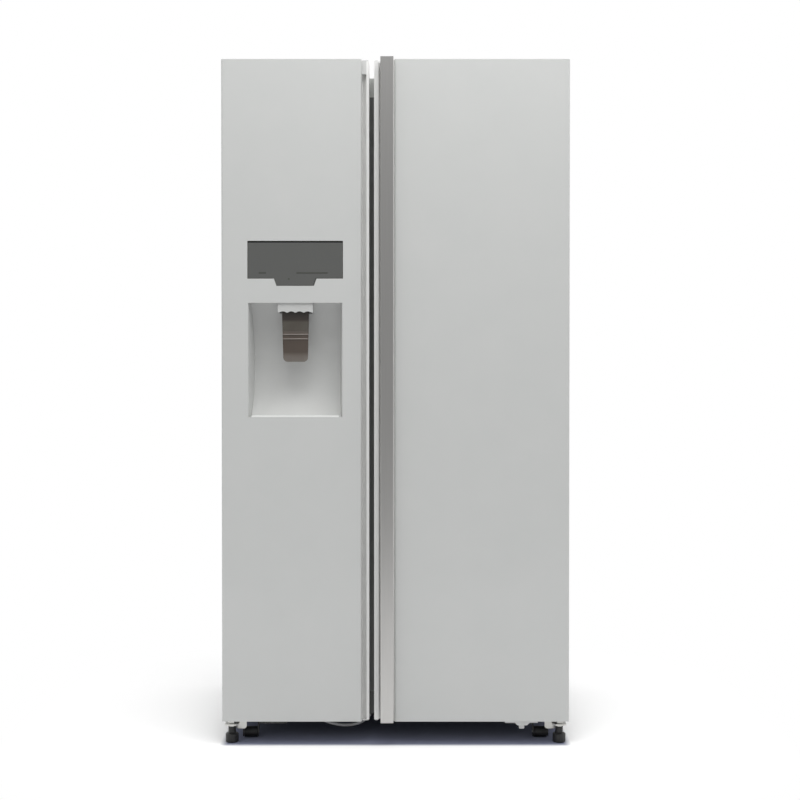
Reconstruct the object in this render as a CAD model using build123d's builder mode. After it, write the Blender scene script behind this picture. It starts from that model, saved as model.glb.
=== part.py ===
from build123d import *
import math
import os

# Side by side refrigerator: a narrow freezer door with an ice and water dispenser on the left,
# a wide fridge door with a full-height bar on the right.
# Millimetres, +Z up, the doors face -Y, the origin is on the floor below the middle of the envelope.

# Envelope
width = 904.0
door_height = 1720.0
door_bottom = 62.0
door_thickness = 70.0
handle_proud = 20.0
seal_gap = 12.0
cabinet_depth = 620.0
spacer_depth = 18.0
cabinet_bottom = 64.0
cabinet_drop = 32.0
cover_rise = 8.0

# Split between the doors
split_offset = -62.5
door_gap = 13.0
freezer_groove_width = 19.0
fridge_strip_width = 52.6

# Sheets, walls and clearances
sheet = 1.0
deck_sheet = 2.0
liner_wall = 2.0
trim_wall = 2.0
moulding_wall = 2.5
skin_bend = 5.0
wrapper_bend = 4.0
soft_gap = 0.3
bend_gap = 0.3
running_clearance = 0.06
slide_gap = 0.3

# Insulated walls
freezer_side_wall = 48.0
fridge_side_wall = 44.0
mullion_width = 52.0
top_wall = 52.0
floor_wall = 60.0
back_wall = 56.0
liner_bend = 18.0

# Machine room behind the lower compartments
machine_height = 210.0
machine_depth = 210.0
step_wall = 56.0
riser_wall = 50.0

# Hinges
hinge_inset = 22.0
hinge_setback = 37.0
hinge_pin_radius = 6.0
hinge_pin_depth = 18.0
hinge_plate = 4.0
hinge_arm = 3.0
hinge_arm_gap = 1.0
hinge_eye = 11.0
hinge_half_width = 18.0
bottom_hinge_drop = 12.0
hinge_flange = 3.0
cover_wall = 1.4
cover_brow = 5.4

# Door inside
cap_height = 22.0
gasket_width = 14.0
gasket_hinge_inset = 24.0
gasket_free_inset = 2.5
gasket_land = 7.0
ridge_width = 22.0
ridge_depth = 40.0
ridge_hinge_gap = 8.0
ridge_free_gap = 15.5
ridge_draft = 6.0
bulge_depth = 65.0
bulge_margin = 10.0
bulge_draft = 5.0
freezer_bin_depth = 105.0
fridge_bin_depth = 125.0
bin_height = 90.0
freezer_bin_pitch = 170.0
fridge_bin_pitch = 220.0
bin_wall = 2.5
bin_corner = 14.0
bin_chamfer = 8.5

# Freezer edge trim and its finger groove
groove_depth = 32.0
groove_undercut = 12.0
fin_width = 7.0
fin_setback = 15.0
skin_return = 10.0
groove_plug_height = 36.0
trim_end_gap = 2.0

# Fridge edge trim and the bar on it
strip_fin_width = 12.0
pocket_depth = 28.0
bar_width = 34.1
bar_wall = 4.0
bar_lip = 10.0
bar_lip_wall = 3.0
bar_round = 2.5
bar_edge = 1.0
bar_seat_wall = 1.8
bar_top_rise = 2.0
bar_bottom_gap = 1.0

# Dispenser
alcove_left_margin = 70.0
alcove_right_margin = 50.5
alcove_height = 296.5
alcove_rise = 793.0
alcove_top_depth = 30.0
alcove_deep = 75.0
alcove_floor_depth = 36.0
alcove_draft = 9.0
display_overhang = 1.85
display_height = 97.3
display_gap = 63.2
display_thickness = 5.0
display_recess = 0.4
tab_width = 110.4
tab_bottom_width = 97.4
tab_height = 18.7
module_depth = 18.0
module_margin = 4.0
nozzle_width = 91.0
nozzle_height = 24.8
nozzle_depth = 46.0
nozzle_setback = 4.0
nozzle_scallops = 4
chute_width = 60.0
chute_height = 44.0
chute_rise = 124.0
lever_top_width = 71.0
lever_bottom_width = 64.0
lever_length = 128.0
lever_thickness = 4.0
lever_setback = 13.0
lever_pivot_rise = 13.0
lever_hub = 8.0
lever_pin_radius = 3.0
lever_step_drop = 58.0
lever_step_height = 10.0
lever_step_proud = 2.0
lever_corner = 12.0
tray_thickness = 4.0
tray_depth = 32.0
tray_margin = 8.0
tray_slots = 8

# Shelves, drawers and what the compartments hold
shelf_thickness = 5.0
shelf_front = 128.0
shelf_back_gap = 66.0
shelf_side_gap = 1.0
ledge_width = 9.0
ledge_height = 10.0
drawer_height = 190.0
drawer_front = 128.0
drawer_wall = 2.5
drawer_side_gap = 12.0
drawer_draft = 2.0
drawer_back_gap = 14.0
drawer_grip = 16.0
drawer_headroom = 6.0
second_shelf_gap = 46.0
freezer_shelf_pitch = 225.0
fridge_shelf_pitch = 220.0
bucket_height = 176.0
bucket_room = 448.0
bucket_margin = 12.0
maker_drop = 98.0
maker_width = 104.0
maker_height = 120.0
maker_length = 240.0
light_width = 110.0
light_depth = 90.0
light_height = 8.0

# Cold air behind the freezer
cover_sheet = 3.0
cover_standoff = 60.0
coil_gap = 3.75
coil_height = 300.0
coil_depth = 44.0
coil_fins = 14
fan_drop = 198.0
duct_width = 72.0
duct_depth = 26.0
duct_slots = 5

# Fans
fan_blades = 5
evaporator_fan_radius = 52.0
condenser_fan_radius = 66.0
fan_hub_radius = 15.0
fan_depth = 20.0
fan_shaft_radius = 3.0
fan_hub_flats = 16
fan_blade_sheet = 1.6
fan_root_chord = 14.0
fan_tip_chord = 26.0
fan_pitch = 28.0
fan_tip_gap = 6.0
fan_ring_flats = 24
motor_radius = 22.0
motor_depth = 12.0
motor_flats = 8
spoke_width = 8.0

# Machine room pieces
compressor_radius = 80.0
compressor_height = 150.0
compressor_plate = 3.0
compressor_shoulder = 34.0
compressor_flats = 24
grommet_radius = 12.0
grommet_height = 15.0
grommet_flats = 8
foot_span_x = 170.0
foot_span_y = 120.0
condenser_width = 210.0
condenser_height = 170.0
condenser_length = 160.0
condenser_fins = 16
shroud_size = 170.0
shroud_sheet = 6.0
pan_gap = 62.0
pan_height = 34.0
valve_width = 44.0
valve_height = 94.0
inlet_radius = 13.2
inlet_length = 14.0
inlet_rise = 64.0

# Feet and rollers
foot_radius = 17.0
foot_height = 24.0
foot_neck_radius = 10.0
foot_flats = 12
foot_edge = 2.0
stud_radius = 5.0
nut_height = 4.0
roller_inset = 67.0
front_roller_radius = 14.0
front_roller_width = 34.0
front_roller_lift = 1.0
rear_roller_radius = 18.0
rear_roller_width = 22.0
rear_roller_setback = 52.0
roller_flats = 24
axle_radius = 4.0
fork_sheet = 3.0
fork_side_gap = 1.0

# Water tube that sags below the freezer door
tube_radius = 4.0
tube_sides = 6
tube_socket_radius = 7.0
tube_setback = 16.0
tube_points = [
    (-214.0, 58.0),
    (-197.0, 43.0),
    (-170.0, 33.0),
    (-138.0, 27.5),
    (-106.0, 31.0),
    (-83.0, 42.0),
    (-67.0, 58.0),
]

# Planes of the envelope
depth = handle_proud + door_thickness + seal_gap + cabinet_depth + spacer_depth
half_width = width / 2
handle_front = -depth / 2
door_front = handle_front + handle_proud
door_back = door_front + door_thickness
cabinet_front = door_back + seal_gap
cabinet_back = cabinet_front + cabinet_depth
wall_plane = cabinet_back + spacer_depth
door_top = door_bottom + door_height
cabinet_top = door_top - cabinet_drop
cover_top = door_top + cover_rise

# Door edges beside the split
freezer_edge = split_offset - door_gap / 2
freezer_panel_edge = freezer_edge - freezer_groove_width
fridge_edge = split_offset + door_gap / 2
fridge_panel_edge = fridge_edge + fridge_strip_width

# Compartments
freezer_left = -half_width + freezer_side_wall
freezer_right = split_offset - mullion_width / 2
fridge_left = split_offset + mullion_width / 2
fridge_right = half_width - fridge_side_wall
cavity_floor = cabinet_bottom + floor_wall
cavity_ceiling = cabinet_top - top_wall
cavity_back = cabinet_back - back_wall
machine_top = cabinet_bottom + machine_height
machine_front = cabinet_back - machine_depth
deck_top = cabinet_bottom + deck_sheet
step_z = machine_top + step_wall
step_y = machine_front - riser_wall

# Heights of shelves and drawers
lower_drawer_z = cavity_floor + slide_gap
first_shelf_z = max(step_z, cavity_floor + drawer_height + drawer_headroom) + ledge_height
upper_drawer_z = first_shelf_z + shelf_thickness + slide_gap
second_shelf_z = upper_drawer_z + drawer_height + second_shelf_gap
bucket_shelf_z = cavity_ceiling - bucket_room
shelf_y = cabinet_front + shelf_front
shelf_back_y = cavity_back - shelf_back_gap
drawer_y = cabinet_front + drawer_front
cover_y = cavity_back - cover_standoff
flange_gap = liner_bend + ledge_width
coil_width = freezer_right - freezer_left - 2 * (flange_gap + cover_sheet + coil_gap)

# Dispenser places
alcove_left = -half_width + alcove_left_margin
alcove_right = freezer_panel_edge - alcove_right_margin
alcove_width = alcove_right - alcove_left
alcove_x = (alcove_left + alcove_right) / 2
display_width = alcove_width + 2 * display_overhang
alcove_low = door_bottom + alcove_rise
alcove_high = alcove_low + alcove_height
display_low = alcove_high + display_gap
display_high = display_low + display_height
nozzle_low = alcove_high - nozzle_height
nozzle_front = door_front + nozzle_setback
lever_y = door_front + lever_setback
lever_z = nozzle_low + lever_pivot_rise
bulge_back = door_back + bulge_depth
bulge_low = alcove_low - 2 * bulge_margin
bulge_high = alcove_high + chute_rise + chute_height + bulge_margin
bulge_left = alcove_left - bulge_margin
bulge_right = alcove_right + bulge_margin
ridge_low = second_shelf_z
ridge_high = cavity_ceiling - ridge_hinge_gap

hinge_x = half_width - hinge_inset
hinge_y = door_front + hinge_setback
hinge_plate_top = door_bottom - bottom_hinge_drop
hinge_plate_low = hinge_plate_top - hinge_plate
roller_x = half_width - roller_inset


def front_plane(y):
    """A drawing plane seen from the front, whose normal points to the viewer."""
    return Plane.XZ.offset(-y)


def plan_plane(z):
    """A drawing plane seen from above."""
    return Plane.XY.offset(z)


def side_plane(x):
    """A drawing plane seen from the right, with Y to the right and Z up."""
    return Plane.YZ.offset(x)


def span_box(xs, ys, zs, mode=Mode.ADD):
    """A box between two planes on each axis."""
    centre = [(low + high) / 2 for low, high in (xs, ys, zs)]
    with Locations(tuple(centre)):
        Box(xs[1] - xs[0], ys[1] - ys[0], zs[1] - zs[0], mode=mode)


def outline(plane, points, radii=0.0):
    """A face on a plane with straight sides and rounded corners."""
    with BuildSketch(plane) as face:
        with BuildLine():
            FilletPolyline(*points, radius=radii, close=True)
        make_face()
    return face.sketch


def frame_face(plane, outer, inner):
    """A rectangular ring on a plane, from (low, high) spans of its two directions."""
    with BuildSketch(plane) as face:
        for (us, vs), mode in ((outer, Mode.ADD), (inner, Mode.SUBTRACT)):
            with Locations(((us[0] + us[1]) / 2, (vs[0] + vs[1]) / 2)):
                Rectangle(us[1] - us[0], vs[1] - vs[0], mode=mode)
    return face.sketch


def rod(start, end, radius, mode=Mode.ADD):
    """A round bar between two points."""
    direction = Vector(end) - Vector(start)
    with BuildSketch(Plane(origin=start, z_dir=direction)) as section:
        Circle(radius)
    extrude(section.sketch, amount=direction.length, mode=mode)


def stack(low, high, pitch):
    """Even heights for as many pieces of one pitch as a space takes, at least one."""
    count = max(1, int((high - low) // pitch))
    step = (high - low) / count
    return [low + step * index for index in range(count)]


def compartment(x_low, x_high, grow, mode=Mode.ADD):
    """The space of one compartment with square corners, grown outwards by a wall."""
    points = [
        (cabinet_front, cavity_floor - grow),
        (step_y + grow, cavity_floor - grow),
        (step_y + grow, step_z - grow),
        (cavity_back + grow, step_z - grow),
        (cavity_back + grow, cavity_ceiling + grow),
        (cabinet_front, cavity_ceiling + grow),
    ]
    profile = outline(side_plane(x_low - grow), points)
    extrude(profile, amount=x_high - x_low + 2 * grow, mode=mode)


def rounded_compartment(x_low, x_high):
    """The space of one compartment as it is moulded, with round bends from side to side."""
    points = [
        (cabinet_front, cavity_floor),
        (step_y, cavity_floor),
        (step_y, step_z),
        (cavity_back, step_z),
        (cavity_back, cavity_ceiling),
        (cabinet_front, cavity_ceiling),
    ]
    radii = [0, liner_bend, liner_bend, liner_bend, liner_bend, 0]
    with BuildPart() as space:
        extrude(outline(side_plane(x_low), points, radii), amount=x_high - x_low)
    return space.part


def shelf_ledges(x_low, x_high, heights, back_y):
    """Moulded ledges on both side walls, each under the shelf at one height."""
    for height in heights:
        for inner, outer in ((x_low, x_low + ledge_width), (x_high - ledge_width, x_high)):
            span_box((inner, outer), (shelf_y, back_y), (height - ledge_height, height))


def shelf_plates(x_low, x_high, heights, back_y):
    """Shelf plates with their front corners cut off, one at each height."""
    left = x_low + shelf_side_gap
    right = x_high - shelf_side_gap
    points = [
        (left, back_y),
        (left, shelf_y + ledge_width),
        (left + ledge_width, shelf_y),
        (right - ledge_width, shelf_y),
        (right, shelf_y + ledge_width),
        (right, back_y),
    ]
    for height in heights:
        extrude(outline(plan_plane(height), points), amount=shelf_thickness)


def drawer_block(xs, ys, zs, corner):
    """A block that narrows downwards, with its upright corners cut off."""
    lean = (zs[1] - zs[0]) * math.tan(math.radians(drawer_draft))
    across = [(xs[0], zs[1]), (xs[1], zs[1]), (xs[1] - lean, zs[0]), (xs[0] + lean, zs[0])]
    along = [(ys[0], zs[1]), (ys[1], zs[1]), (ys[1] - lean, zs[0]), (ys[0] + lean, zs[0])]
    with BuildPart() as block:
        extrude(outline(front_plane(ys[0]), across), amount=ys[0] - ys[1])
        extrude(outline(side_plane(xs[0]), along), amount=xs[1] - xs[0], mode=Mode.INTERSECT)
        with BuildSketch(plan_plane(zs[0])) as plan:
            with Locations(((xs[0] + xs[1]) / 2, (ys[0] + ys[1]) / 2)):
                Rectangle(xs[1] - xs[0], ys[1] - ys[0])
            chamfer(plan.vertices(), length=corner)
        extrude(amount=zs[1] - zs[0], mode=Mode.INTERSECT)
    return block.part


def drawer(x_low, x_high, low, back_y):
    """An open drawer that narrows downwards, with a grip rolled over its front edge."""
    left = x_low + drawer_side_gap
    right = x_high - drawer_side_gap
    top = low + drawer_height
    outside = drawer_block((left, right), (drawer_y, back_y), (low, top), bin_corner)
    inside = drawer_block(
        (left + drawer_wall, right - drawer_wall),
        (drawer_y + drawer_wall, back_y - drawer_wall),
        (low + drawer_wall, top),
        bin_corner - drawer_wall,
    )
    with BuildPart() as tub:
        add(outside)
        add(inside, mode=Mode.SUBTRACT)
        grip = [
            (drawer_y + drawer_wall, top - drawer_wall),
            (drawer_y + drawer_wall, top),
            (drawer_y - drawer_grip, top),
            (drawer_y - drawer_grip, top - drawer_grip),
            (drawer_y - drawer_grip + drawer_wall, top - drawer_grip),
            (drawer_y - drawer_grip + drawer_wall, top - drawer_wall),
        ]
        inset = 2 * bin_corner
        extrude(outline(side_plane(left + inset), grip), amount=right - left - 2 * inset)
    return tub.part


def door_bin(x_low, x_high, low, bin_depth):
    """An open tray that hangs flat against the door's inner panel."""
    with BuildPart() as tray:
        points = [
            (x_low, door_back),
            (x_high, door_back),
            (x_high, door_back + bin_depth - bin_chamfer),
            (x_high - bin_chamfer, door_back + bin_depth),
            (x_low + bin_chamfer, door_back + bin_depth),
            (x_low, door_back + bin_depth - bin_chamfer),
        ]
        extrude(outline(plan_plane(low), points), amount=bin_height)
        offset(amount=-bin_wall, openings=tray.faces().sort_by(Axis.Z)[-1])
        scoop = [
            (door_back + bin_depth / 3, low + bin_height),
            (door_back + bin_depth / 2, low + 2 * bin_height / 3),
            (door_back + bin_depth + bin_wall, low + 2 * bin_height / 3),
            (door_back + bin_depth + bin_wall, low + bin_height + bin_wall),
            (door_back + bin_depth / 3, low + bin_height + bin_wall),
        ]
        extrude(
            outline(side_plane(x_low - bin_wall), scoop),
            amount=x_high - x_low + 2 * bin_wall,
            mode=Mode.SUBTRACT,
        )
    return tray.part


def door_forms(spans, shrink):
    """Drafted ridges and bulges on a door's inner panel, drawn in by a wall.

    Each span is (x low, x high, z low, z high, depth, draft).
    """
    with BuildPart() as forms:
        for x_low, x_high, z_low, z_high, form_depth, draft in spans:
            with BuildSketch(front_plane(door_back - liner_wall)):
                with Locations(((x_low + x_high) / 2, (z_low + z_high) / 2)):
                    Rectangle(x_high - x_low - 2 * shrink, z_high - z_low - 2 * shrink)
            extrude(amount=-(form_depth + liner_wall - shrink), taper=draft)
    return forms.part


def fan_wheel(tip_radius):
    """A fan that turns about Z from the ground plane up, with pitched blades round a bored hub."""
    root = fan_hub_radius - 2 * fan_blade_sheet
    outline_points = [
        (root, -fan_root_chord / 2),
        (tip_radius, -fan_tip_chord / 2),
        (tip_radius, fan_tip_chord / 2),
        (root, fan_root_chord / 2),
    ]
    with BuildPart() as wheel:
        with BuildSketch():
            RegularPolygon(fan_hub_radius, fan_hub_flats)
            Circle(fan_shaft_radius + running_clearance, mode=Mode.SUBTRACT)
        extrude(amount=fan_depth)
        with BuildPart(mode=Mode.PRIVATE) as vane:
            pitched = Plane(origin=(0, 0, fan_depth / 2)).rotated((fan_pitch, 0, 0))
            extrude(outline(pitched, outline_points), amount=fan_blade_sheet / 2, both=True)
        for blade in range(fan_blades):
            add(Rotation(0, 0, 360 * blade / fan_blades) * vane.part)
    return wheel.part


def recess(grow):
    """The dispenser's scooped hollow as a solid, grown outwards by a wall."""
    scoop_high = (door_front + alcove_top_depth, alcove_high)
    scoop_mid = (door_front + alcove_deep, (alcove_low + alcove_high) / 2)
    scoop_low = (door_front + alcove_floor_depth, alcove_low)
    back = door_front + alcove_deep
    left = alcove_left - grow
    right = alcove_right + grow
    with BuildPart() as hollow:
        with BuildSketch(side_plane(alcove_x)):
            with BuildLine():
                Polyline((door_front, alcove_low), (door_front, alcove_high), scoop_high)
                ThreePointArc(scoop_high, scoop_mid, scoop_low)
                Line(scoop_low, (door_front, alcove_low))
            make_face()
            if grow > 0:
                offset(amount=grow)
        extrude(amount=alcove_width, both=True)
        plan = [
            (left, door_front),
            (right, door_front),
            (right - alcove_draft, back + 2 * grow),
            (left + alcove_draft, back + 2 * grow),
        ]
        extrude(outline(plan_plane(door_bottom), plan), amount=door_height, mode=Mode.INTERSECT)
    return hollow.part


def ice_way(inset):
    """The nozzle box and the sloping chute behind it as one solid, drawn in by a wall."""
    reach = 2 * chute_height
    bottom = (nozzle_front + nozzle_depth / 2, nozzle_low + nozzle_height / 2)
    top = (bulge_back, alcove_high + chute_rise)
    slope = Vector(0, top[0] - bottom[0], top[1] - bottom[1])
    start = Vector(alcove_x, bottom[0], bottom[1])
    with BuildPart() as way:
        span_box(
            (alcove_x - nozzle_width / 2 + inset, alcove_x + nozzle_width / 2 - inset),
            (nozzle_front + inset, nozzle_front + nozzle_depth - inset),
            (nozzle_low - 4 * inset, alcove_high + nozzle_height - inset),
        )
        with BuildSketch(Plane(origin=start, x_dir=(1, 0, 0), z_dir=slope)):
            Rectangle(chute_width - 2 * inset, chute_height - 2 * inset)
        extrude(amount=slope.length + reach)
        span_box(
            (alcove_x - nozzle_width, alcove_x + nozzle_width),
            (door_front, bulge_back + inset),
            (nozzle_low - 4 * inset, bulge_high + reach),
            mode=Mode.INTERSECT,
        )
    return way.part


def display_face(plane, grow):
    """The display's outline, a wide panel with a tapering tab below it."""
    points = [
        (alcove_x - display_width / 2, display_high),
        (alcove_x + display_width / 2, display_high),
        (alcove_x + display_width / 2, display_low),
        (alcove_x + tab_width / 2, display_low),
        (alcove_x + tab_bottom_width / 2, display_low - tab_height),
        (alcove_x - tab_bottom_width / 2, display_low - tab_height),
        (alcove_x - tab_width / 2, display_low),
        (alcove_x - display_width / 2, display_low),
    ]
    with BuildSketch(plane) as face:
        with BuildLine():
            Polyline(*points, close=True)
        make_face()
        if grow > 0:
            offset(amount=grow, kind=Kind.INTERSECTION)
    return face.sketch


def freezer_section(inner_bend):
    """The freezer door's inside in plan, between its skin, trim and inner panel."""
    back = door_back - liner_wall
    inner = -half_width + sheet
    points = [
        (inner, back),
        (inner, door_front + sheet),
        (freezer_panel_edge - sheet, door_front + sheet),
        (freezer_panel_edge - sheet, groove_mouth - trim_wall),
        (groove_left - trim_wall, groove_mouth - trim_wall),
        (groove_left - trim_wall, groove_floor + trim_wall),
        (freezer_edge - trim_wall, groove_floor + trim_wall),
        (freezer_edge - trim_wall, back),
    ]
    return points, [0, inner_bend, inner_bend, 0, 0, 0, 0, 0]


def fridge_section(inner_bend):
    """The fridge door's inside in plan, between its skin, trim and inner panel."""
    back = door_back - liner_wall
    inner = half_width - sheet
    points = [
        (inner, back),
        (inner, door_front + sheet),
        (fridge_panel_edge + sheet, door_front + sheet),
        (fridge_panel_edge + sheet, door_front + skin_return),
        (fridge_panel_edge, door_front + skin_return),
        (fridge_panel_edge, pocket_floor + trim_wall),
        (fridge_edge + strip_fin_width - trim_wall, pocket_floor + trim_wall),
        (fridge_edge + strip_fin_width - trim_wall, fin_front + trim_wall),
        (fridge_edge + trim_wall, fin_front + trim_wall),
        (fridge_edge + trim_wall, back),
    ]
    return points, [0, inner_bend, inner_bend, 0, 0, 0, 0, 0, 0, 0]


def gasket_ring(x_low, x_high):
    """A seal round one compartment's mouth, between the door and the cabinet's front edge."""
    outer = (
        (x_low, x_high),
        (cavity_floor - gasket_land - liner_wall - gasket_width, cavity_ceiling + gasket_land + gasket_width),
    )
    inner = (
        (x_low + gasket_width, x_high - gasket_width),
        (outer[1][0] + gasket_width, outer[1][1] - gasket_width),
    )
    return frame_face(front_plane(door_back), outer, inner)


def hinge_bore(x, mode=Mode.SUBTRACT):
    """The two blind bores that a door's hinge pins turn in."""
    radius = hinge_pin_radius + running_clearance
    end_gap = 1.0
    rod((x, hinge_y, door_top - hinge_pin_depth - end_gap), (x, hinge_y, door_top), radius, mode)
    rod((x, hinge_y, door_bottom), (x, hinge_y, door_bottom + hinge_pin_depth + end_gap), radius, mode)


groove_floor = door_front + groove_depth
groove_mouth = door_front + skin_return - sheet
groove_left = freezer_panel_edge - groove_undercut
groove_right = freezer_edge - fin_width
fin_front = door_front + fin_setback
pocket_floor = door_front + pocket_depth
bar_right = fridge_panel_edge - bar_seat_wall
bar_left = bar_right - bar_width

# Cabinet wrapper: sides and top bent from one sheet, with a flange round the front
with BuildPart() as cabinet_wrapper:
    wrapper_corners = [
        (-half_width, cabinet_bottom),
        (-half_width, cabinet_top),
        (half_width, cabinet_top),
        (half_width, cabinet_bottom),
    ]
    with BuildSketch(front_plane(cabinet_front)):
        with BuildLine():
            FilletPolyline(*wrapper_corners, radius=wrapper_bend)
            offset(amount=sheet, side=Side.RIGHT)
        make_face()
    extrude(amount=-cabinet_depth)
    front_face = outline(front_plane(cabinet_front), wrapper_corners, [0, wrapper_bend, wrapper_bend, 0])
    extrude(front_face, amount=-sheet)
    span_box(
        (freezer_left - liner_wall, fridge_right + liner_wall),
        (cabinet_front, cabinet_front + sheet),
        (cabinet_bottom, cavity_ceiling + liner_wall),
        mode=Mode.SUBTRACT,
    )

# Back panel: a flat sheet with pressed stiffening beads
with BuildPart() as back_panel:
    inner_half = half_width - sheet
    panel_corners = [
        (-inner_half, machine_top),
        (-inner_half, cabinet_top - sheet),
        (inner_half, cabinet_top - sheet),
        (inner_half, machine_top),
    ]
    panel_face = outline(front_plane(cabinet_back - sheet), panel_corners, [0, wrapper_bend, wrapper_bend, 0])
    extrude(panel_face, amount=-sheet)
    bead_width = 24.0
    bead_proud = 4.0
    bead_margin = 140.0
    for share in (-0.5, 0.0, 0.5):
        bead_x = share * half_width
        bead = [
            (bead_x - bead_width / 2, cabinet_back),
            (bead_x - bead_width / 4, cabinet_back + bead_proud),
            (bead_x + bead_width / 4, cabinet_back + bead_proud),
            (bead_x + bead_width / 2, cabinet_back),
        ]
        bead_height = cabinet_top - machine_top - 2 * bead_margin
        extrude(outline(plan_plane(machine_top + bead_margin), bead), amount=bead_height)

# Base deck: floor plate, step over the machine room, front upstand, roller forks and tube sockets
with BuildPart() as base_deck:
    deck_half = half_width - sheet
    span_box((-deck_half, deck_half), (cabinet_front + sheet, cabinet_back), (cabinet_bottom, deck_top))
    span_box(
        (-deck_half, deck_half),
        (machine_front - deck_sheet, machine_front),
        (deck_top, machine_top),
    )
    span_box(
        (-deck_half, deck_half),
        (machine_front - deck_sheet, cabinet_back),
        (machine_top - deck_sheet, machine_top),
    )
    span_box(
        (freezer_left - liner_wall, fridge_right + liner_wall),
        (cabinet_front, cabinet_front + sheet),
        (cabinet_bottom, cavity_floor - liner_wall),
    )
    for end_x in (-deck_half, deck_half - deck_sheet):
        span_box(
            (end_x, end_x + deck_sheet),
            (machine_front, cabinet_back),
            (deck_top, machine_top - deck_sheet),
        )
    rear_roller_y = cabinet_back - rear_roller_setback
    front_roller_y = cabinet_front + deck_sheet
    front_roller_z = front_roller_radius + front_roller_lift
    fork_sets = (
        (front_roller_y, front_roller_z, front_roller_width, 2 * front_roller_radius),
        (rear_roller_y, rear_roller_radius, rear_roller_width, rear_roller_radius),
    )
    for fork_y, axle_z, roller_width, fork_lean in fork_sets:
        cheek = axle_radius + 2 * fork_sheet
        leg = [
            (fork_y + fork_lean / 2 - cheek, cabinet_bottom),
            (fork_y - cheek, axle_z),
            (fork_y - cheek, axle_z - cheek),
            (fork_y + cheek, axle_z - cheek),
            (fork_y + cheek, axle_z),
            (fork_y + fork_lean / 2 + cheek, cabinet_bottom),
        ]
        for side in (-1, 1):
            inner = roller_width / 2 + fork_side_gap
            for cheek_x in (side * roller_x - inner - fork_sheet, side * roller_x + inner):
                extrude(outline(side_plane(cheek_x), leg), amount=fork_sheet)
            rod(
                (side * roller_x - inner, fork_y, axle_z),
                (side * roller_x + inner, fork_y, axle_z),
                axle_radius,
            )
    gusset_y = front_roller_y + front_roller_radius / 2
    gusset_reach = 1.5 * roller_inset
    gusset_drop = 30.0
    for side in (-1, 1):
        inner_x = side * (roller_x - front_roller_width / 2 - fork_side_gap - fork_sheet)
        far_x = inner_x - side * gusset_reach
        gusset = [
            (inner_x, cabinet_bottom),
            (inner_x, cabinet_bottom - gusset_drop),
            (far_x + side * gusset_drop, cabinet_bottom - gusset_drop),
            (far_x, cabinet_bottom),
        ]
        extrude(outline(front_plane(gusset_y), gusset), amount=-deck_sheet)
    tube_y = cabinet_front + tube_setback
    for end, following in ((0, 1), (-1, -2)):
        mouth = Vector(tube_points[end][0], tube_y, tube_points[end][1])
        away = mouth - Vector(tube_points[following][0], tube_y, tube_points[following][1])
        with BuildSketch(Plane(origin=mouth, z_dir=away)):
            RegularPolygon(tube_socket_radius, 2 * tube_sides)
        extrude(amount=away.length)
    span_box(
        (-half_width, half_width),
        (tube_y - 2 * tube_socket_radius, tube_y + 2 * tube_socket_radius),
        (deck_top, deck_top + 4 * tube_socket_radius),
        mode=Mode.SUBTRACT,
    )

# Cabinet foam: fills the space between the outer sheets and the liners
with BuildPart() as cabinet_foam:
    foam_half = half_width - sheet
    foam_corners = [
        (-foam_half, deck_top),
        (-foam_half, cabinet_top - sheet),
        (foam_half, cabinet_top - sheet),
        (foam_half, deck_top),
    ]
    foam_face = outline(front_plane(cabinet_front + sheet), foam_corners, [0, wrapper_bend, wrapper_bend, 0])
    extrude(foam_face, amount=-(cabinet_depth - 2 * sheet))
    span_box(
        (-half_width, half_width),
        (machine_front - deck_sheet, cabinet_back),
        (cabinet_bottom, machine_top),
        mode=Mode.SUBTRACT,
    )
    compartment(freezer_left, freezer_right, liner_wall, mode=Mode.SUBTRACT)
    compartment(fridge_left, fridge_right, liner_wall, mode=Mode.SUBTRACT)

# Liners: moulded pans with shelf ledges
freezer_shelf_heights = [
    first_shelf_z,
    *stack(second_shelf_z, bucket_shelf_z, freezer_shelf_pitch),
    bucket_shelf_z,
]
with BuildPart() as freezer_liner:
    compartment(freezer_left, freezer_right, liner_wall)
    add(rounded_compartment(freezer_left, freezer_right), mode=Mode.SUBTRACT)
    shelf_ledges(freezer_left, freezer_right, freezer_shelf_heights, shelf_back_y)

fridge_shelf_heights = [first_shelf_z, *stack(second_shelf_z, cavity_ceiling, fridge_shelf_pitch)]
with BuildPart() as fridge_liner:
    compartment(fridge_left, fridge_right, liner_wall)
    add(rounded_compartment(fridge_left, fridge_right), mode=Mode.SUBTRACT)
    shelf_ledges(fridge_left, fridge_right, fridge_shelf_heights, shelf_back_y)

# Mullion strip: closes the front of the wall between the compartments
with BuildPart() as mullion_strip:
    span_box(
        (freezer_right + liner_wall, fridge_left - liner_wall),
        (cabinet_front, cabinet_front + sheet),
        (cavity_floor - liner_wall, cavity_ceiling + liner_wall),
    )

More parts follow.
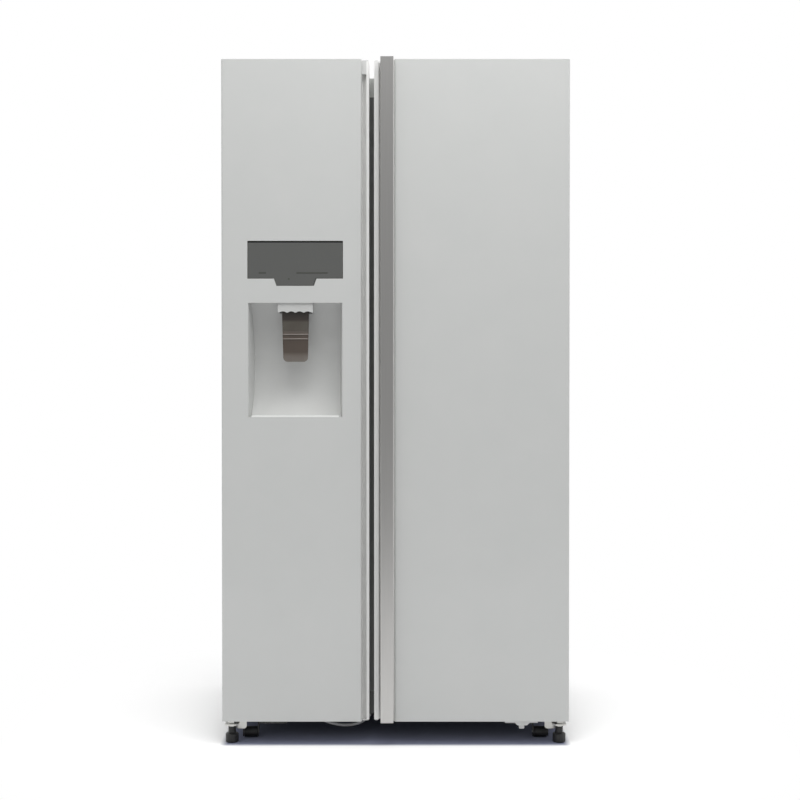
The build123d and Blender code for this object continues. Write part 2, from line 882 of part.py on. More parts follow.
# Top hinges: a stepped arm on the cabinet's top with a pin down into each door
arm_low = door_top + hinge_arm_gap
arm_high = arm_low + hinge_arm
hinge_riser_y = cabinet_front + 4 * hinge_plate
hinge_tail_y = hinge_riser_y + 3 * hinge_half_width
with BuildPart() as top_hinges:
    arm_profile = [
        (hinge_tail_y, cabinet_top),
        (hinge_tail_y, cabinet_top + hinge_plate),
        (hinge_riser_y + hinge_plate, cabinet_top + hinge_plate),
        (hinge_riser_y + hinge_plate, arm_high),
        (hinge_y - hinge_eye, arm_high),
        (hinge_y - hinge_eye, arm_low),
        (hinge_riser_y, arm_low),
        (hinge_riser_y, cabinet_top),
    ]
    for side in (-1, 1):
        start_x = side * hinge_x - hinge_half_width
        extrude(outline(side_plane(start_x), arm_profile), amount=2 * hinge_half_width)
    arm_corners = top_hinges.edges().filter_by(Axis.Z).group_by(Axis.Y)[0]
    chamfer(arm_corners, length=hinge_half_width - hinge_eye)
    for side in (-1, 1):
        rod(
            (side * hinge_x, hinge_y, door_top - hinge_pin_depth),
            (side * hinge_x, hinge_y, arm_low),
            hinge_pin_radius,
        )

# Hinge covers: hollow caps over the top hinges, which slope down towards the door's front
with BuildPart() as hinge_covers:
    cover_front_y = hinge_y - hinge_eye - 2 * cover_wall
    cover_back_y = hinge_tail_y + 2 * cover_wall
    cover_low = door_top + hinge_arm_gap / 2
    cover_half = hinge_half_width + 2 * cover_wall
    step_y_cover = cabinet_front + cover_wall
    outer = [
        (cover_back_y + hinge_plate, cabinet_top),
        (cover_back_y, cover_top),
        (hinge_y, cover_top),
        (cover_front_y, door_top + cover_brow),
        (cover_front_y, cover_low),
        (step_y_cover, cover_low),
        (step_y_cover, cabinet_top),
    ]
    inner = [
        (cover_back_y + hinge_plate - cover_wall, cabinet_top),
        (cover_back_y - cover_wall, cover_top - cover_wall),
        (hinge_y, cover_top - cover_wall),
        (cover_front_y + cover_wall, door_top + cover_brow - cover_wall),
        (cover_front_y + cover_wall, cover_low),
        (step_y_cover + cover_wall, cover_low),
        (step_y_cover + cover_wall, cabinet_top),
    ]
    for side in (-1, 1):
        start_x = side * hinge_x - cover_half
        extrude(outline(side_plane(start_x), outer), amount=2 * cover_half)
        hollow_width = 2 * (cover_half - cover_wall)
        extrude(outline(side_plane(start_x + cover_wall), inner), amount=hollow_width, mode=Mode.SUBTRACT)

# Bottom hinges: a tongue below each door with its pin on a hexagon, a flange on the cabinet and a foot's nut
with BuildPart() as bottom_hinges:
    flange_rise = 42.0
    tab_drop = 16.0
    for side in (-1, 1):
        axis_x = side * hinge_x
        tongue = [
            (axis_x - hinge_half_width, cabinet_front),
            (axis_x - hinge_half_width, hinge_y - hinge_eye),
            (axis_x - hinge_eye, hinge_y - hinge_half_width),
            (axis_x + hinge_eye, hinge_y - hinge_half_width),
            (axis_x + hinge_half_width, hinge_y - hinge_eye),
            (axis_x + hinge_half_width, cabinet_front),
        ]
        extrude(outline(plan_plane(hinge_plate_low), tongue), amount=hinge_plate)
        with BuildSketch(plan_plane(hinge_plate_low - nut_height)):
            with Locations((axis_x, hinge_y)):
                RegularPolygon(2 * stud_radius, 6)
        extrude(amount=nut_height)
        span_box(
            (axis_x - hinge_half_width, axis_x + hinge_half_width),
            (cabinet_front - hinge_flange, cabinet_front),
            (hinge_plate_low, hinge_plate_low + flange_rise),
        )
        tab_inner = axis_x - side * hinge_half_width
        tab = [
            (tab_inner + side * hinge_half_width, hinge_plate_top),
            (tab_inner - side * hinge_half_width, hinge_plate_top),
            (tab_inner - side * hinge_half_width, hinge_plate_low - tab_drop),
            (tab_inner + side * hinge_half_width / 2, hinge_plate_low - tab_drop),
        ]
        tab_face = outline(front_plane(hinge_y + hinge_half_width), tab, [0, 0, tab_drop / 2, tab_drop / 2])
        extrude(tab_face, amount=-hinge_flange)
        with BuildSketch(plan_plane(hinge_plate_top)):
            with Locations((axis_x, hinge_y)):
                RegularPolygon(2 * hinge_pin_radius, 6)
        extrude(amount=door_bottom - soft_gap - hinge_plate_top)
        rod(
            (axis_x, hinge_y, door_bottom - soft_gap),
            (axis_x, hinge_y, door_bottom + hinge_pin_depth),
            hinge_pin_radius,
        )
        rod(
            (axis_x, hinge_y, hinge_plate_low - nut_height),
            (axis_x, hinge_y, hinge_plate_top),
            stud_radius + running_clearance,
            mode=Mode.SUBTRACT,
        )

# Levelling feet: a knob with flats for the fingers on a neck, whose stud turns in the bottom hinge's nut
foot_shoulder = hinge_plate_low - nut_height - slide_gap
feet = []
for side in (-1, 1):
    with BuildPart() as foot:
        for knob_radius, knob_low, knob_high in (
            (foot_radius, 0, foot_height),
            (foot_neck_radius, foot_height, foot_shoulder),
        ):
            with BuildSketch(plan_plane(knob_low)):
                with Locations((side * hinge_x, hinge_y)):
                    RegularPolygon(knob_radius, foot_flats)
            extrude(amount=knob_high - knob_low)
        neck_side = 2 * foot_neck_radius * math.sin(math.pi / foot_flats)
        top_edges = foot.edges().filter_by_position(Axis.Z, foot_height, foot_height)
        pad_edges = top_edges.filter_by(lambda edge: edge.length > neck_side + soft_gap)
        chamfer(pad_edges + foot.edges().group_by(Axis.Z)[0], length=foot_edge)
        rod(
            (side * hinge_x, hinge_y, foot_shoulder),
            (side * hinge_x, hinge_y, hinge_plate_top - slide_gap),
            stud_radius,
        )
    feet.append(foot)
levelling_foot_left, levelling_foot_right = feet

# Rollers: bored wheels, moulded with narrow flats, on the forks' axles
rollers = []
roller_sets = (
    (front_roller_y, front_roller_z, front_roller_radius, front_roller_width),
    (rear_roller_y, rear_roller_radius, rear_roller_radius, rear_roller_width),
)
for roller_y, axle_z, roller_radius, roller_width in roller_sets:
    for side in (-1, 1):
        with BuildPart() as roller:
            with BuildSketch(side_plane(side * roller_x - roller_width / 2)):
                with Locations((roller_y, axle_z)):
                    RegularPolygon(roller_radius, roller_flats)
                    Circle(axle_radius + running_clearance, mode=Mode.SUBTRACT)
            extrude(amount=roller_width)
        rollers.append(roller)
front_roller_left, front_roller_right, rear_roller_left, rear_roller_right = rollers

# Compressor: a many-sided pot with a sloping shoulder, on a foot plate
compressor_x = -half_width / 2 - compressor_radius / 2
compressor_y = (machine_front + cabinet_back) / 2
compressor_low = deck_top + grommet_height
grommet_offsets = [
    (sign_x * foot_span_x / 2, sign_y * foot_span_y / 2) for sign_x in (-1, 1) for sign_y in (-1, 1)
]
with BuildPart() as compressor:
    with BuildSketch(plan_plane(compressor_low)):
        with Locations((compressor_x, compressor_y)):
            Rectangle(foot_span_x + 2 * grommet_radius, foot_span_y + 2 * grommet_radius)
    extrude(amount=compressor_plate)
    pot_low = compressor_low + compressor_plate
    pot_high = compressor_low + compressor_height
    with BuildSketch(plan_plane(pot_low)):
        with Locations((compressor_x, compressor_y)):
            RegularPolygon(compressor_radius, compressor_flats)
    extrude(amount=pot_high - pot_low)
    chamfer(compressor.edges().group_by(Axis.Z)[-1], length=compressor_shoulder)

# Compressor grommets
with BuildPart() as compressor_grommets:
    for offset_x, offset_y in grommet_offsets:
        with BuildSketch(plan_plane(deck_top)):
            with Locations((compressor_x + offset_x, compressor_y + offset_y)):
                RegularPolygon(grommet_radius, grommet_flats)
        extrude(amount=grommet_height)

# Fan shroud: a standing frame with a many-sided opening, spokes, the motor and its shaft
shroud_x = compressor_x + foot_span_x / 2 + 4 * grommet_radius + 2 * motor_depth
shroud_z = deck_top + shroud_size / 2
shroud_y = compressor_y
with BuildPart() as fan_shroud:
    with BuildSketch(side_plane(shroud_x)):
        with Locations((shroud_y, shroud_z)):
            Rectangle(shroud_size, shroud_size)
            RegularPolygon(condenser_fan_radius + fan_tip_gap, fan_ring_flats, mode=Mode.SUBTRACT)
            Rectangle(spoke_width, shroud_size)
            Rectangle(shroud_size, spoke_width)
    extrude(amount=shroud_sheet)
    with BuildSketch(side_plane(shroud_x - motor_depth)):
        with Locations((shroud_y, shroud_z)):
            RegularPolygon(motor_radius, motor_flats)
    extrude(amount=motor_depth + shroud_sheet)
    shaft_end = shroud_x + shroud_sheet + fan_tip_gap + fan_depth
    rod((shroud_x, shroud_y, shroud_z), (shaft_end, shroud_y, shroud_z), fan_shaft_radius)

# Condenser fan
with BuildPart() as condenser_fan:
    fan_seat = Plane(
        origin=(shroud_x + shroud_sheet + fan_tip_gap / 2, shroud_y, shroud_z),
        x_dir=(0, 1, 0),
        z_dir=(1, 0, 0),
    )
    add(fan_seat.location * fan_wheel(condenser_fan_radius))

# Condenser: a finned block on the deck
condenser_x = shaft_end + 3 * fan_tip_gap
with BuildPart() as condenser:
    fin_pitch = condenser_width / (2 * condenser_fins - 1)
    condenser_y = (compressor_y - condenser_length / 2, compressor_y + condenser_length / 2)
    span_box((condenser_x, condenser_x + condenser_width), condenser_y, (deck_top, deck_top + 3 * fin_pitch))
    with BuildSketch(plan_plane(deck_top)):
        with Locations((condenser_x + condenser_width / 2, compressor_y)):
            with GridLocations(2 * fin_pitch, 0, condenser_fins, 1):
                Rectangle(fin_pitch, condenser_length)
    extrude(amount=condenser_height)

# Drain pan: a shallow open tray between the condenser and the water valve
valve_x = half_width - valve_width
pan_x = condenser_x + condenser_width + 3 * fan_tip_gap
pan_width = valve_x - valve_width / 2 - pan_gap - pan_x
with BuildPart() as drain_pan:
    with BuildSketch(plan_plane(deck_top)):
        with Locations((pan_x + pan_width / 2, compressor_y)):
            Rectangle(pan_width, condenser_length)
    extrude(amount=pan_height)
    offset(amount=-moulding_wall, openings=drain_pan.faces().sort_by(Axis.Z)[-1])

# Water valve: a body with two coils and a threaded inlet out of the back
inlet_z = deck_top + inlet_rise
cover_plate = 2.0
valve_flange = 4.0
with BuildPart() as water_valve:
    valve_back = cabinet_back - cover_plate - valve_flange
    span_box(
        (valve_x - valve_width / 2, valve_x + valve_width / 2),
        (valve_back - valve_width, valve_back),
        (deck_top, deck_top + valve_height),
    )
    with BuildSketch(plan_plane(deck_top + valve_height)):
        with Locations((valve_x, valve_back - valve_width / 2)):
            with GridLocations(valve_width / 2, 0, 2, 1):
                Rectangle(valve_width / 2.5, valve_width / 2)
    extrude(amount=valve_width)
    with BuildSketch(front_plane(cabinet_back)):
        with Locations((valve_x, inlet_z)):
            RegularPolygon(inlet_radius + valve_flange, 6)
    extrude(amount=cabinet_back - valve_back)
    rod((valve_x, valve_back, inlet_z), (valve_x, cabinet_back + inlet_length, inlet_z), inlet_radius)

# Machine room cover: a slotted plate with a hole for the water inlet
with BuildPart() as machine_cover:
    cover_high = machine_top - deck_sheet
    with BuildSketch(front_plane(cabinet_back - cover_plate)):
        with Locations((0, (deck_top + cover_high) / 2)):
            Rectangle(2 * (half_width - sheet - deck_sheet), cover_high - deck_top)
        slot_pitch = 16.0
        slot_rows = 8
        slot_length = 120.0
        for slot_x in (-half_width / 2, condenser_x + condenser_width / 2):
            with Locations((slot_x, (deck_top + cover_high) / 2)):
                with GridLocations(0, slot_pitch, 1, slot_rows):
                    Rectangle(slot_length, slot_pitch / 2, mode=Mode.SUBTRACT)
        with Locations((valve_x, inlet_z)):
            RegularPolygon(inlet_radius + valve_flange + 2 * soft_gap, 6, mode=Mode.SUBTRACT)
    extrude(amount=-cover_plate)

# Evaporator: a finned block on the freezer's back wall
freezer_mid = (freezer_left + freezer_right) / 2
coil_low = step_z + 2 * liner_bend
with BuildPart() as evaporator:
    fin_pitch = coil_width / (2 * coil_fins - 1)
    span_box(
        (freezer_mid - coil_width / 2, freezer_mid + coil_width / 2),
        (cavity_back - 3 * fin_pitch, cavity_back),
        (coil_low, coil_low + coil_height),
    )
    with BuildSketch(front_plane(cavity_back)):
        with Locations((freezer_mid, coil_low + coil_height / 2)):
            with GridLocations(2 * fin_pitch, 0, coil_fins, 1):
                Rectangle(fin_pitch, coil_height)
    extrude(amount=coil_depth)

# Evaporator cover: a panel in front of the coil, with air slots, the fan's opening, motor and shaft
fan_z = cavity_ceiling - fan_drop
cover_panel_low = first_shelf_z + shelf_thickness + ledge_height
cover_panel_high = cavity_ceiling - top_wall
with BuildPart() as evaporator_cover:
    with BuildSketch(front_plane(cover_y)):
        with Locations((freezer_mid, (cover_panel_low + cover_panel_high) / 2)):
            Rectangle(freezer_right - freezer_left - 2 * soft_gap, cover_panel_high - cover_panel_low)
        with Locations((freezer_mid, fan_z)):
            RegularPolygon(evaporator_fan_radius + fan_tip_gap, fan_ring_flats, mode=Mode.SUBTRACT)
            Rectangle(spoke_width, 2 * (evaporator_fan_radius + fan_tip_gap))
            Rectangle(2 * (evaporator_fan_radius + fan_tip_gap), spoke_width)
        with Locations((freezer_mid, cover_panel_low + coil_height / 2)):
            with GridLocations(0, 2 * spoke_width, 1, 5):
                Rectangle(coil_width / 2, spoke_width, mode=Mode.SUBTRACT)
    extrude(amount=-cover_sheet)
    for flange_x in (freezer_left + flange_gap, freezer_right - flange_gap - cover_sheet):
        span_box(
            (flange_x, flange_x + cover_sheet),
            (cover_y, cavity_back),
            (cover_panel_low + liner_bend, cover_panel_high - liner_bend),
        )
    motor_back = cover_y + motor_depth
    with BuildSketch(front_plane(motor_back)):
        with Locations((freezer_mid, fan_z)):
            RegularPolygon(motor_radius, motor_flats)
    extrude(amount=motor_depth)
    rod(
        (freezer_mid, motor_back, fan_z),
        (freezer_mid, motor_back + fan_tip_gap + fan_depth, fan_z),
        fan_shaft_radius,
    )

# Evaporator fan
with BuildPart() as evaporator_fan:
    fan_seat = Plane(
        origin=(freezer_mid, motor_back + fan_tip_gap / 2, fan_z), x_dir=(1, 0, 0), z_dir=(0, 1, 0)
    )
    add(fan_seat.location * fan_wheel(evaporator_fan_radius))

# Freezer shelves
with BuildPart() as freezer_shelves:
    shelf_plates(freezer_left, freezer_right, freezer_shelf_heights, shelf_back_y)

# Ice bucket: an open tub on the top freezer shelf
bucket_low = bucket_shelf_z + shelf_thickness
with BuildPart() as ice_bucket:
    bucket_width = freezer_right - freezer_left - 2 * bucket_margin
    with BuildSketch(plan_plane(bucket_low)) as bucket_floor:
        with Locations((freezer_mid, (shelf_y + shelf_back_y) / 2)):
            Rectangle(bucket_width, shelf_back_y - shelf_y - 2 * bucket_margin)
        chamfer(bucket_floor.vertices(), length=bin_chamfer)
    extrude(amount=bucket_height)
    offset(amount=-drawer_wall, openings=ice_bucket.faces().sort_by(Axis.Z)[-1])

# Ice maker: a round-bottomed mould with a drive box, fixed to the freezer's side wall
maker_high = cavity_ceiling - maker_drop
with BuildPart() as ice_maker:
    maker_low = maker_high - maker_height
    maker_right = freezer_left + maker_width
    mould = [
        (freezer_left, maker_high),
        (freezer_left, maker_low),
        (maker_right, maker_low),
        (maker_right, maker_high),
    ]
    maker_front = shelf_y + 2 * bucket_margin
    mould_radii = [0, maker_width / 4, maker_width / 2.2, 0]
    extrude(outline(front_plane(maker_front), mould, mould_radii), amount=-maker_length)
    span_box(
        (freezer_left, maker_right + bucket_margin),
        (maker_front - 3 * bucket_margin, maker_front),
        (maker_low + bucket_margin, maker_high),
    )

# Drawers and crispers
freezer_drawer_lower = drawer(freezer_left, freezer_right, lower_drawer_z, step_y - drawer_back_gap)
freezer_drawer_upper = drawer(freezer_left, freezer_right, upper_drawer_z, shelf_back_y - drawer_back_gap)
crisper_lower = drawer(fridge_left, fridge_right, lower_drawer_z, step_y - drawer_back_gap)
crisper_upper = drawer(fridge_left, fridge_right, upper_drawer_z, shelf_back_y - drawer_back_gap)

# Fridge shelves, of which the lowest two carry and cover the upper crisper
with BuildPart() as fridge_shelves:
    shelf_plates(fridge_left, fridge_right, fridge_shelf_heights, shelf_back_y)

# Air duct: a slotted channel down the fridge's back wall
fridge_mid = (fridge_left + fridge_right) / 2
with BuildPart() as air_duct:
    duct_low = step_z + 2 * liner_bend
    duct_high = cavity_ceiling - 2 * liner_bend
    duct_face = [
        (fridge_mid - duct_width / 2, cavity_back),
        (fridge_mid - duct_width / 2 + duct_depth / 3, cavity_back - duct_depth),
        (fridge_mid + duct_width / 2 - duct_depth / 3, cavity_back - duct_depth),
        (fridge_mid + duct_width / 2, cavity_back),
    ]
    extrude(outline(plan_plane(duct_low), duct_face), amount=duct_high - duct_low)
    slot_depth = duct_depth / 2
    slot_step = (duct_high - duct_low) / duct_slots
    for index in range(duct_slots):
        slot_z = duct_low + slot_step * (index + 0.5)
        span_box(
            (fridge_mid - duct_width / 4, fridge_mid + duct_width / 4),
            (cavity_back - duct_depth, cavity_back - duct_depth + slot_depth),
            (slot_z - slot_depth / 2, slot_z + slot_depth / 2),
            mode=Mode.SUBTRACT,
        )

# Interior lights: lenses on both ceilings
with BuildPart() as interior_lights:
    for light_x in (freezer_mid, fridge_mid):
        with BuildSketch(plan_plane(cavity_ceiling)):
            with Locations((light_x, shelf_y)):
                Rectangle(light_width, light_depth)
        extrude(amount=-light_height, taper=2 * ridge_draft)

# Wall spacers: stand-offs that keep the back off the wall
with BuildPart() as wall_spacers:
    spacer_size = 60.0
    spacer_drop = 110.0
    for side in (-1, 1):
        with BuildSketch(front_plane(cabinet_back)):
            with Locations((side * (half_width * 0.75), cabinet_top - spacer_drop)):
                Rectangle(spacer_size, spacer_size)
        extrude(amount=cabinet_back - wall_plane, taper=2 * ridge_draft)

# Water tube: hangs in a slack curve between its two sockets on the deck
with BuildPart() as water_tube:
    route = [Vector(x, tube_y, z) for x, z in tube_points]
    bend_radii = []
    for before, corner, after in zip(route, route[1:], route[2:]):
        turn = (corner - before).get_angle(after - corner)
        shorter = min((corner - before).length, (after - corner).length)
        bend_radii.append(0.45 * shorter / math.tan(math.radians(turn / 2)))
    with BuildLine() as tube_line:
        FilletPolyline(*route, radius=bend_radii)
    with BuildSketch(Plane(origin=route[0], z_dir=route[1] - route[0])) as tube_section:
        RegularPolygon(tube_radius, tube_sides)
    sweep(path=tube_line.wire())
tube_length = tube_line.wire().length
tube_share = water_tube.part.volume / (tube_section.sketch.area * tube_length)
print("tube length", round(tube_length, 1), "volume share", round(tube_share, 4))
print("tube bend radii", [round(radius, 1) for radius in bend_radii])

# Freezer door skin: one bent sheet with openings for the display and the dispenser
housing_hollow = recess(0.0)
housing_block = recess(moulding_wall)
ice_block = ice_way(0.0)
with BuildPart() as freezer_door_skin:
    with BuildSketch(plan_plane(door_bottom)):
        with BuildLine():
            FilletPolyline(
                (-half_width, door_back - liner_wall),
                (-half_width, door_front),
                (freezer_panel_edge, door_front),
                (freezer_panel_edge, door_front + skin_return),
                radius=skin_bend,
            )
            offset(amount=sheet, side=Side.LEFT)
        make_face()
    extrude(amount=door_height)
    extrude(display_face(front_plane(door_front), soft_gap), amount=-sheet, mode=Mode.SUBTRACT)
    add(housing_block, mode=Mode.SUBTRACT)

# Dispenser housing: a scooped moulding let into the door
with BuildPart() as dispenser_housing:
    add(housing_block)
    add(housing_hollow, mode=Mode.SUBTRACT)
    add(ice_block, mode=Mode.SUBTRACT)

# Dispenser nozzle: a hollow box with a scalloped front edge, and the ice chute that feeds it
with BuildPart() as dispenser_nozzle:
    add(ice_block)
    add(ice_way(moulding_wall), mode=Mode.SUBTRACT)
    scallop = (nozzle_width - 2 * moulding_wall) / nozzle_scallops
    scallop_rise = nozzle_height / 8
    scallop_radius = ((scallop / 2.4) ** 2 + scallop_rise**2) / (2 * scallop_rise)
    with BuildSketch(front_plane(nozzle_front)):
        with Locations((alcove_x, nozzle_low + scallop_rise - scallop_radius)):
            with GridLocations(scallop, 0, nozzle_scallops, 1):
                Circle(scallop_radius)
    extrude(amount=-moulding_wall, mode=Mode.SUBTRACT)
    rod(
        (alcove_x - nozzle_width / 2, lever_y, lever_z),
        (alcove_x + nozzle_width / 2, lever_y, lever_z),
        lever_pin_radius + running_clearance,
        mode=Mode.SUBTRACT,
    )

# Dispenser lever: a tapered paddle with a stepped ledge, hung on two pins in the nozzle
with BuildPart() as dispenser_lever:
    lever_low = nozzle_low - lever_length
    paddle = [
        (alcove_x - lever_top_width / 2, lever_z),
        (alcove_x - lever_bottom_width / 2, lever_low),
        (alcove_x + lever_bottom_width / 2, lever_low),
        (alcove_x + lever_top_width / 2, lever_z),
    ]
    lever_front = lever_y - lever_thickness / 2
    paddle_face = outline(front_plane(lever_front), paddle, [0, lever_corner, lever_corner, 0])
    extrude(paddle_face, amount=-lever_thickness)
    step_high = nozzle_low - lever_step_drop
    step_half = lever_bottom_width / 2
    ledge_profile = [
        (lever_front, step_high + lever_step_height),
        (lever_front - lever_step_proud, step_high),
        (lever_front, step_high),
    ]
    extrude(outline(side_plane(alcove_x - step_half), ledge_profile), amount=2 * step_half)
    hub_half = nozzle_width / 2 - moulding_wall - fork_side_gap
    span_box(
        (alcove_x - hub_half, alcove_x + hub_half),
        (lever_y - lever_hub / 2, lever_y + lever_hub / 2),
        (lever_z - lever_hub / 2, lever_z + lever_hub / 2),
    )
    rod(
        (alcove_x - nozzle_width / 2, lever_y, lever_z),
        (alcove_x + nozzle_width / 2, lever_y, lever_z),
        lever_pin_radius,
    )

# Drip tray: a slotted plate on the alcove's floor
with BuildPart() as drip_tray:
    tray_width = alcove_width - 2 * tray_margin
    with BuildSketch(plan_plane(alcove_low)):
        with Locations((alcove_x, door_front + tray_depth / 2)):
            Rectangle(tray_width, tray_depth)
            with GridLocations(tray_width / tray_slots, 0, tray_slots, 1):
                Rectangle(tray_width / tray_slots / 2, tray_depth / 2, mode=Mode.SUBTRACT)
    extrude(amount=tray_thickness)

# Display panel and the control module behind it
display_y = door_front + display_recess
module_y = display_y + display_thickness
module_spans = (
    (alcove_x - display_width / 2 + module_margin, alcove_x + display_width / 2 - module_margin),
    (module_y, module_y + module_depth),
    (display_low + module_margin, display_high - module_margin),
)
with BuildPart() as display_panel:
    extrude(display_face(front_plane(display_y), 0.0), amount=-display_thickness)

with BuildPart() as control_module:
    span_box(*module_spans)
    module_back = control_module.faces().sort_by(Axis.Y)[-1]
    chamfer(module_back.edges(), length=module_margin)

# Freezer door inside: ridges beside the bins and a bulge behind the dispenser
freezer_ridges = [
    (freezer_left + ridge_hinge_gap, freezer_left + ridge_hinge_gap + ridge_width),
    (freezer_right - ridge_free_gap - ridge_width, freezer_right - ridge_free_gap),
]
freezer_forms = [(low, high, ridge_low, ridge_high, ridge_depth, ridge_draft) for low, high in freezer_ridges]
freezer_forms.append((bulge_left, bulge_right, bulge_low, bulge_high, bulge_depth, bulge_draft))
with BuildPart() as freezer_door_core:
    core_points, core_radii = freezer_section(skin_bend - sheet + bend_gap)
    core_face = outline(plan_plane(door_bottom + cap_height), core_points, core_radii)
    extrude(core_face, amount=door_height - 2 * cap_height)
    add(door_forms(freezer_forms, liner_wall))
    add(recess(moulding_wall + bend_gap), mode=Mode.SUBTRACT)
    add(ice_block, mode=Mode.SUBTRACT)
    extrude(display_face(front_plane(door_front), soft_gap), amount=door_front - module_y, mode=Mode.SUBTRACT)
    span_box(*module_spans, mode=Mode.SUBTRACT)

with BuildPart() as freezer_door_liner:
    span_box((-half_width, freezer_edge), (door_back - liner_wall, door_back), (door_bottom, door_top))
    add(door_forms(freezer_forms, 0.0))
    add(door_forms(freezer_forms, liner_wall), mode=Mode.SUBTRACT)
    add(ice_block, mode=Mode.SUBTRACT)

with BuildPart() as freezer_door_gasket:
    freezer_seal = gasket_ring(-half_width + gasket_hinge_inset, freezer_edge - gasket_free_inset)
    extrude(freezer_seal, amount=-(seal_gap - soft_gap))

with BuildPart() as freezer_door_caps:
    for cap_z in (door_bottom, door_top - cap_height):
        extrude(outline(plan_plane(cap_z), core_points, core_radii), amount=cap_height)
    for lid_z in (door_bottom, door_top - trim_end_gap):
        span_box(
            (freezer_panel_edge, freezer_edge - trim_wall),
            (fin_front, groove_floor + trim_wall),
            (lid_z, lid_z + trim_end_gap),
        )
    span_box(
        (freezer_panel_edge, groove_right),
        (fin_front, groove_floor),
        (door_top - groove_plug_height, door_top - trim_end_gap),
    )
    hinge_bore(-hinge_x)

# Freezer edge trim: a folded profile that makes the finger groove and the door's free side
with BuildPart() as freezer_edge_trim:
    trim_points = [
        (freezer_edge, fin_front),
        (freezer_edge, door_back - liner_wall),
        (freezer_edge - trim_wall, door_back - liner_wall),
        (freezer_edge - trim_wall, groove_floor + trim_wall),
        (groove_left - trim_wall, groove_floor + trim_wall),
        (groove_left - trim_wall, groove_mouth - trim_wall),
        (freezer_panel_edge - sheet, groove_mouth - trim_wall),
        (freezer_panel_edge - sheet, groove_mouth),
        (groove_left, groove_mouth),
        (groove_left, groove_floor),
        (groove_right, groove_floor),
        (groove_right, fin_front),
    ]
    trim_face = outline(plan_plane(door_bottom + trim_end_gap), trim_points)
    extrude(trim_face, amount=door_height - 2 * trim_end_gap)

# Freezer door bins hang between the ridges, below and above the bulge
freezer_bin_span = (freezer_ridges[0][1] + bin_wall, freezer_ridges[1][0] - bin_wall)
freezer_bin_heights = [
    *[low + bin_height / 2 for low in stack(ridge_low, bulge_low - bin_height / 2, freezer_bin_pitch)],
    *[low + bin_height / 2 for low in stack(bulge_high, ridge_high, freezer_bin_pitch)],
]
with BuildPart() as freezer_door_bins:
    for low in freezer_bin_heights:
        add(door_bin(*freezer_bin_span, low, freezer_bin_depth))

# Fridge door: skin, core, inner panel, seal, caps, trim and bins
with BuildPart() as fridge_door_skin:
    with BuildSketch(plan_plane(door_bottom)):
        with BuildLine():
            FilletPolyline(
                (half_width, door_back - liner_wall),
                (half_width, door_front),
                (fridge_panel_edge, door_front),
                (fridge_panel_edge, door_front + skin_return),
                radius=skin_bend,
            )
            offset(amount=sheet, side=Side.RIGHT)
        make_face()
    extrude(amount=door_height)

fridge_ridges = [
    (fridge_left + ridge_free_gap, fridge_left + ridge_free_gap + ridge_width),
    (fridge_right - ridge_hinge_gap - ridge_width, fridge_right - ridge_hinge_gap),
]
fridge_forms = [(low, high, ridge_low, ridge_high, ridge_depth, ridge_draft) for low, high in fridge_ridges]
with BuildPart() as fridge_door_core:
    core_points, core_radii = fridge_section(skin_bend - sheet + bend_gap)
    core_face = outline(plan_plane(door_bottom + cap_height), core_points, core_radii)
    extrude(core_face, amount=door_height - 2 * cap_height)
    add(door_forms(fridge_forms, liner_wall))

with BuildPart() as fridge_door_liner:
    span_box((fridge_edge, half_width), (door_back - liner_wall, door_back), (door_bottom, door_top))
    add(door_forms(fridge_forms, 0.0))
    add(door_forms(fridge_forms, liner_wall), mode=Mode.SUBTRACT)

with BuildPart() as fridge_door_gasket:
    fridge_seal = gasket_ring(fridge_edge + gasket_free_inset, half_width - gasket_hinge_inset)
    extrude(fridge_seal, amount=-(seal_gap - soft_gap))

with BuildPart() as fridge_door_caps:
    for cap_z in (door_bottom, door_top - cap_height):
        extrude(outline(plan_plane(cap_z), core_points, core_radii), amount=cap_height)
    hinge_bore(hinge_x)

with BuildPart() as fridge_edge_trim:
    strip_right = fridge_edge + strip_fin_width
    trim_points = [
        (fridge_edge, fin_front),
        (strip_right, fin_front),
        (strip_right, pocket_floor),
        (bar_right, pocket_floor),
        (bar_right, door_front + sheet),
        (fridge_panel_edge, door_front + sheet),
        (fridge_panel_edge, pocket_floor + trim_wall),
        (strip_right - trim_wall, pocket_floor + trim_wall),
        (strip_right - trim_wall, fin_front + trim_wall),
        (fridge_edge + trim_wall, fin_front + trim_wall),
        (fridge_edge + trim_wall, door_back - liner_wall),
        (fridge_edge, door_back - liner_wall),
    ]
    trim_face = outline(plan_plane(door_bottom + trim_end_gap), trim_points)
    extrude(trim_face, amount=door_height - 2 * trim_end_gap)

# Handle bar: an extruded hook section, open towards the gap between the doors
with BuildPart() as handle_bar:
    bar_points = [
        (bar_right, pocket_floor),
        (bar_right, handle_front),
        (bar_left, handle_front),
        (bar_left, handle_front + bar_lip),
        (bar_left + bar_lip_wall, handle_front + bar_lip),
        (bar_left + bar_lip_wall, handle_front + bar_wall),
        (bar_right - bar_wall, handle_front + bar_wall),
        (bar_right - bar_wall, pocket_floor),
    ]
    bar_radii = [0, bar_round, bar_round, bar_edge, bar_edge, bar_edge, bar_round, 0]
    bar_face = outline(plan_plane(door_bottom + bar_bottom_gap), bar_points, bar_radii)
    extrude(bar_face, amount=door_height - bar_bottom_gap + bar_top_rise)

fridge_bin_span = (fridge_ridges[0][1] + bin_wall, fridge_ridges[1][0] - bin_wall)
with BuildPart() as fridge_door_bins:
    for low in stack(ridge_low, ridge_high, fridge_bin_pitch):
        add(door_bin(*fridge_bin_span, low + bin_height / 2, fridge_bin_depth))

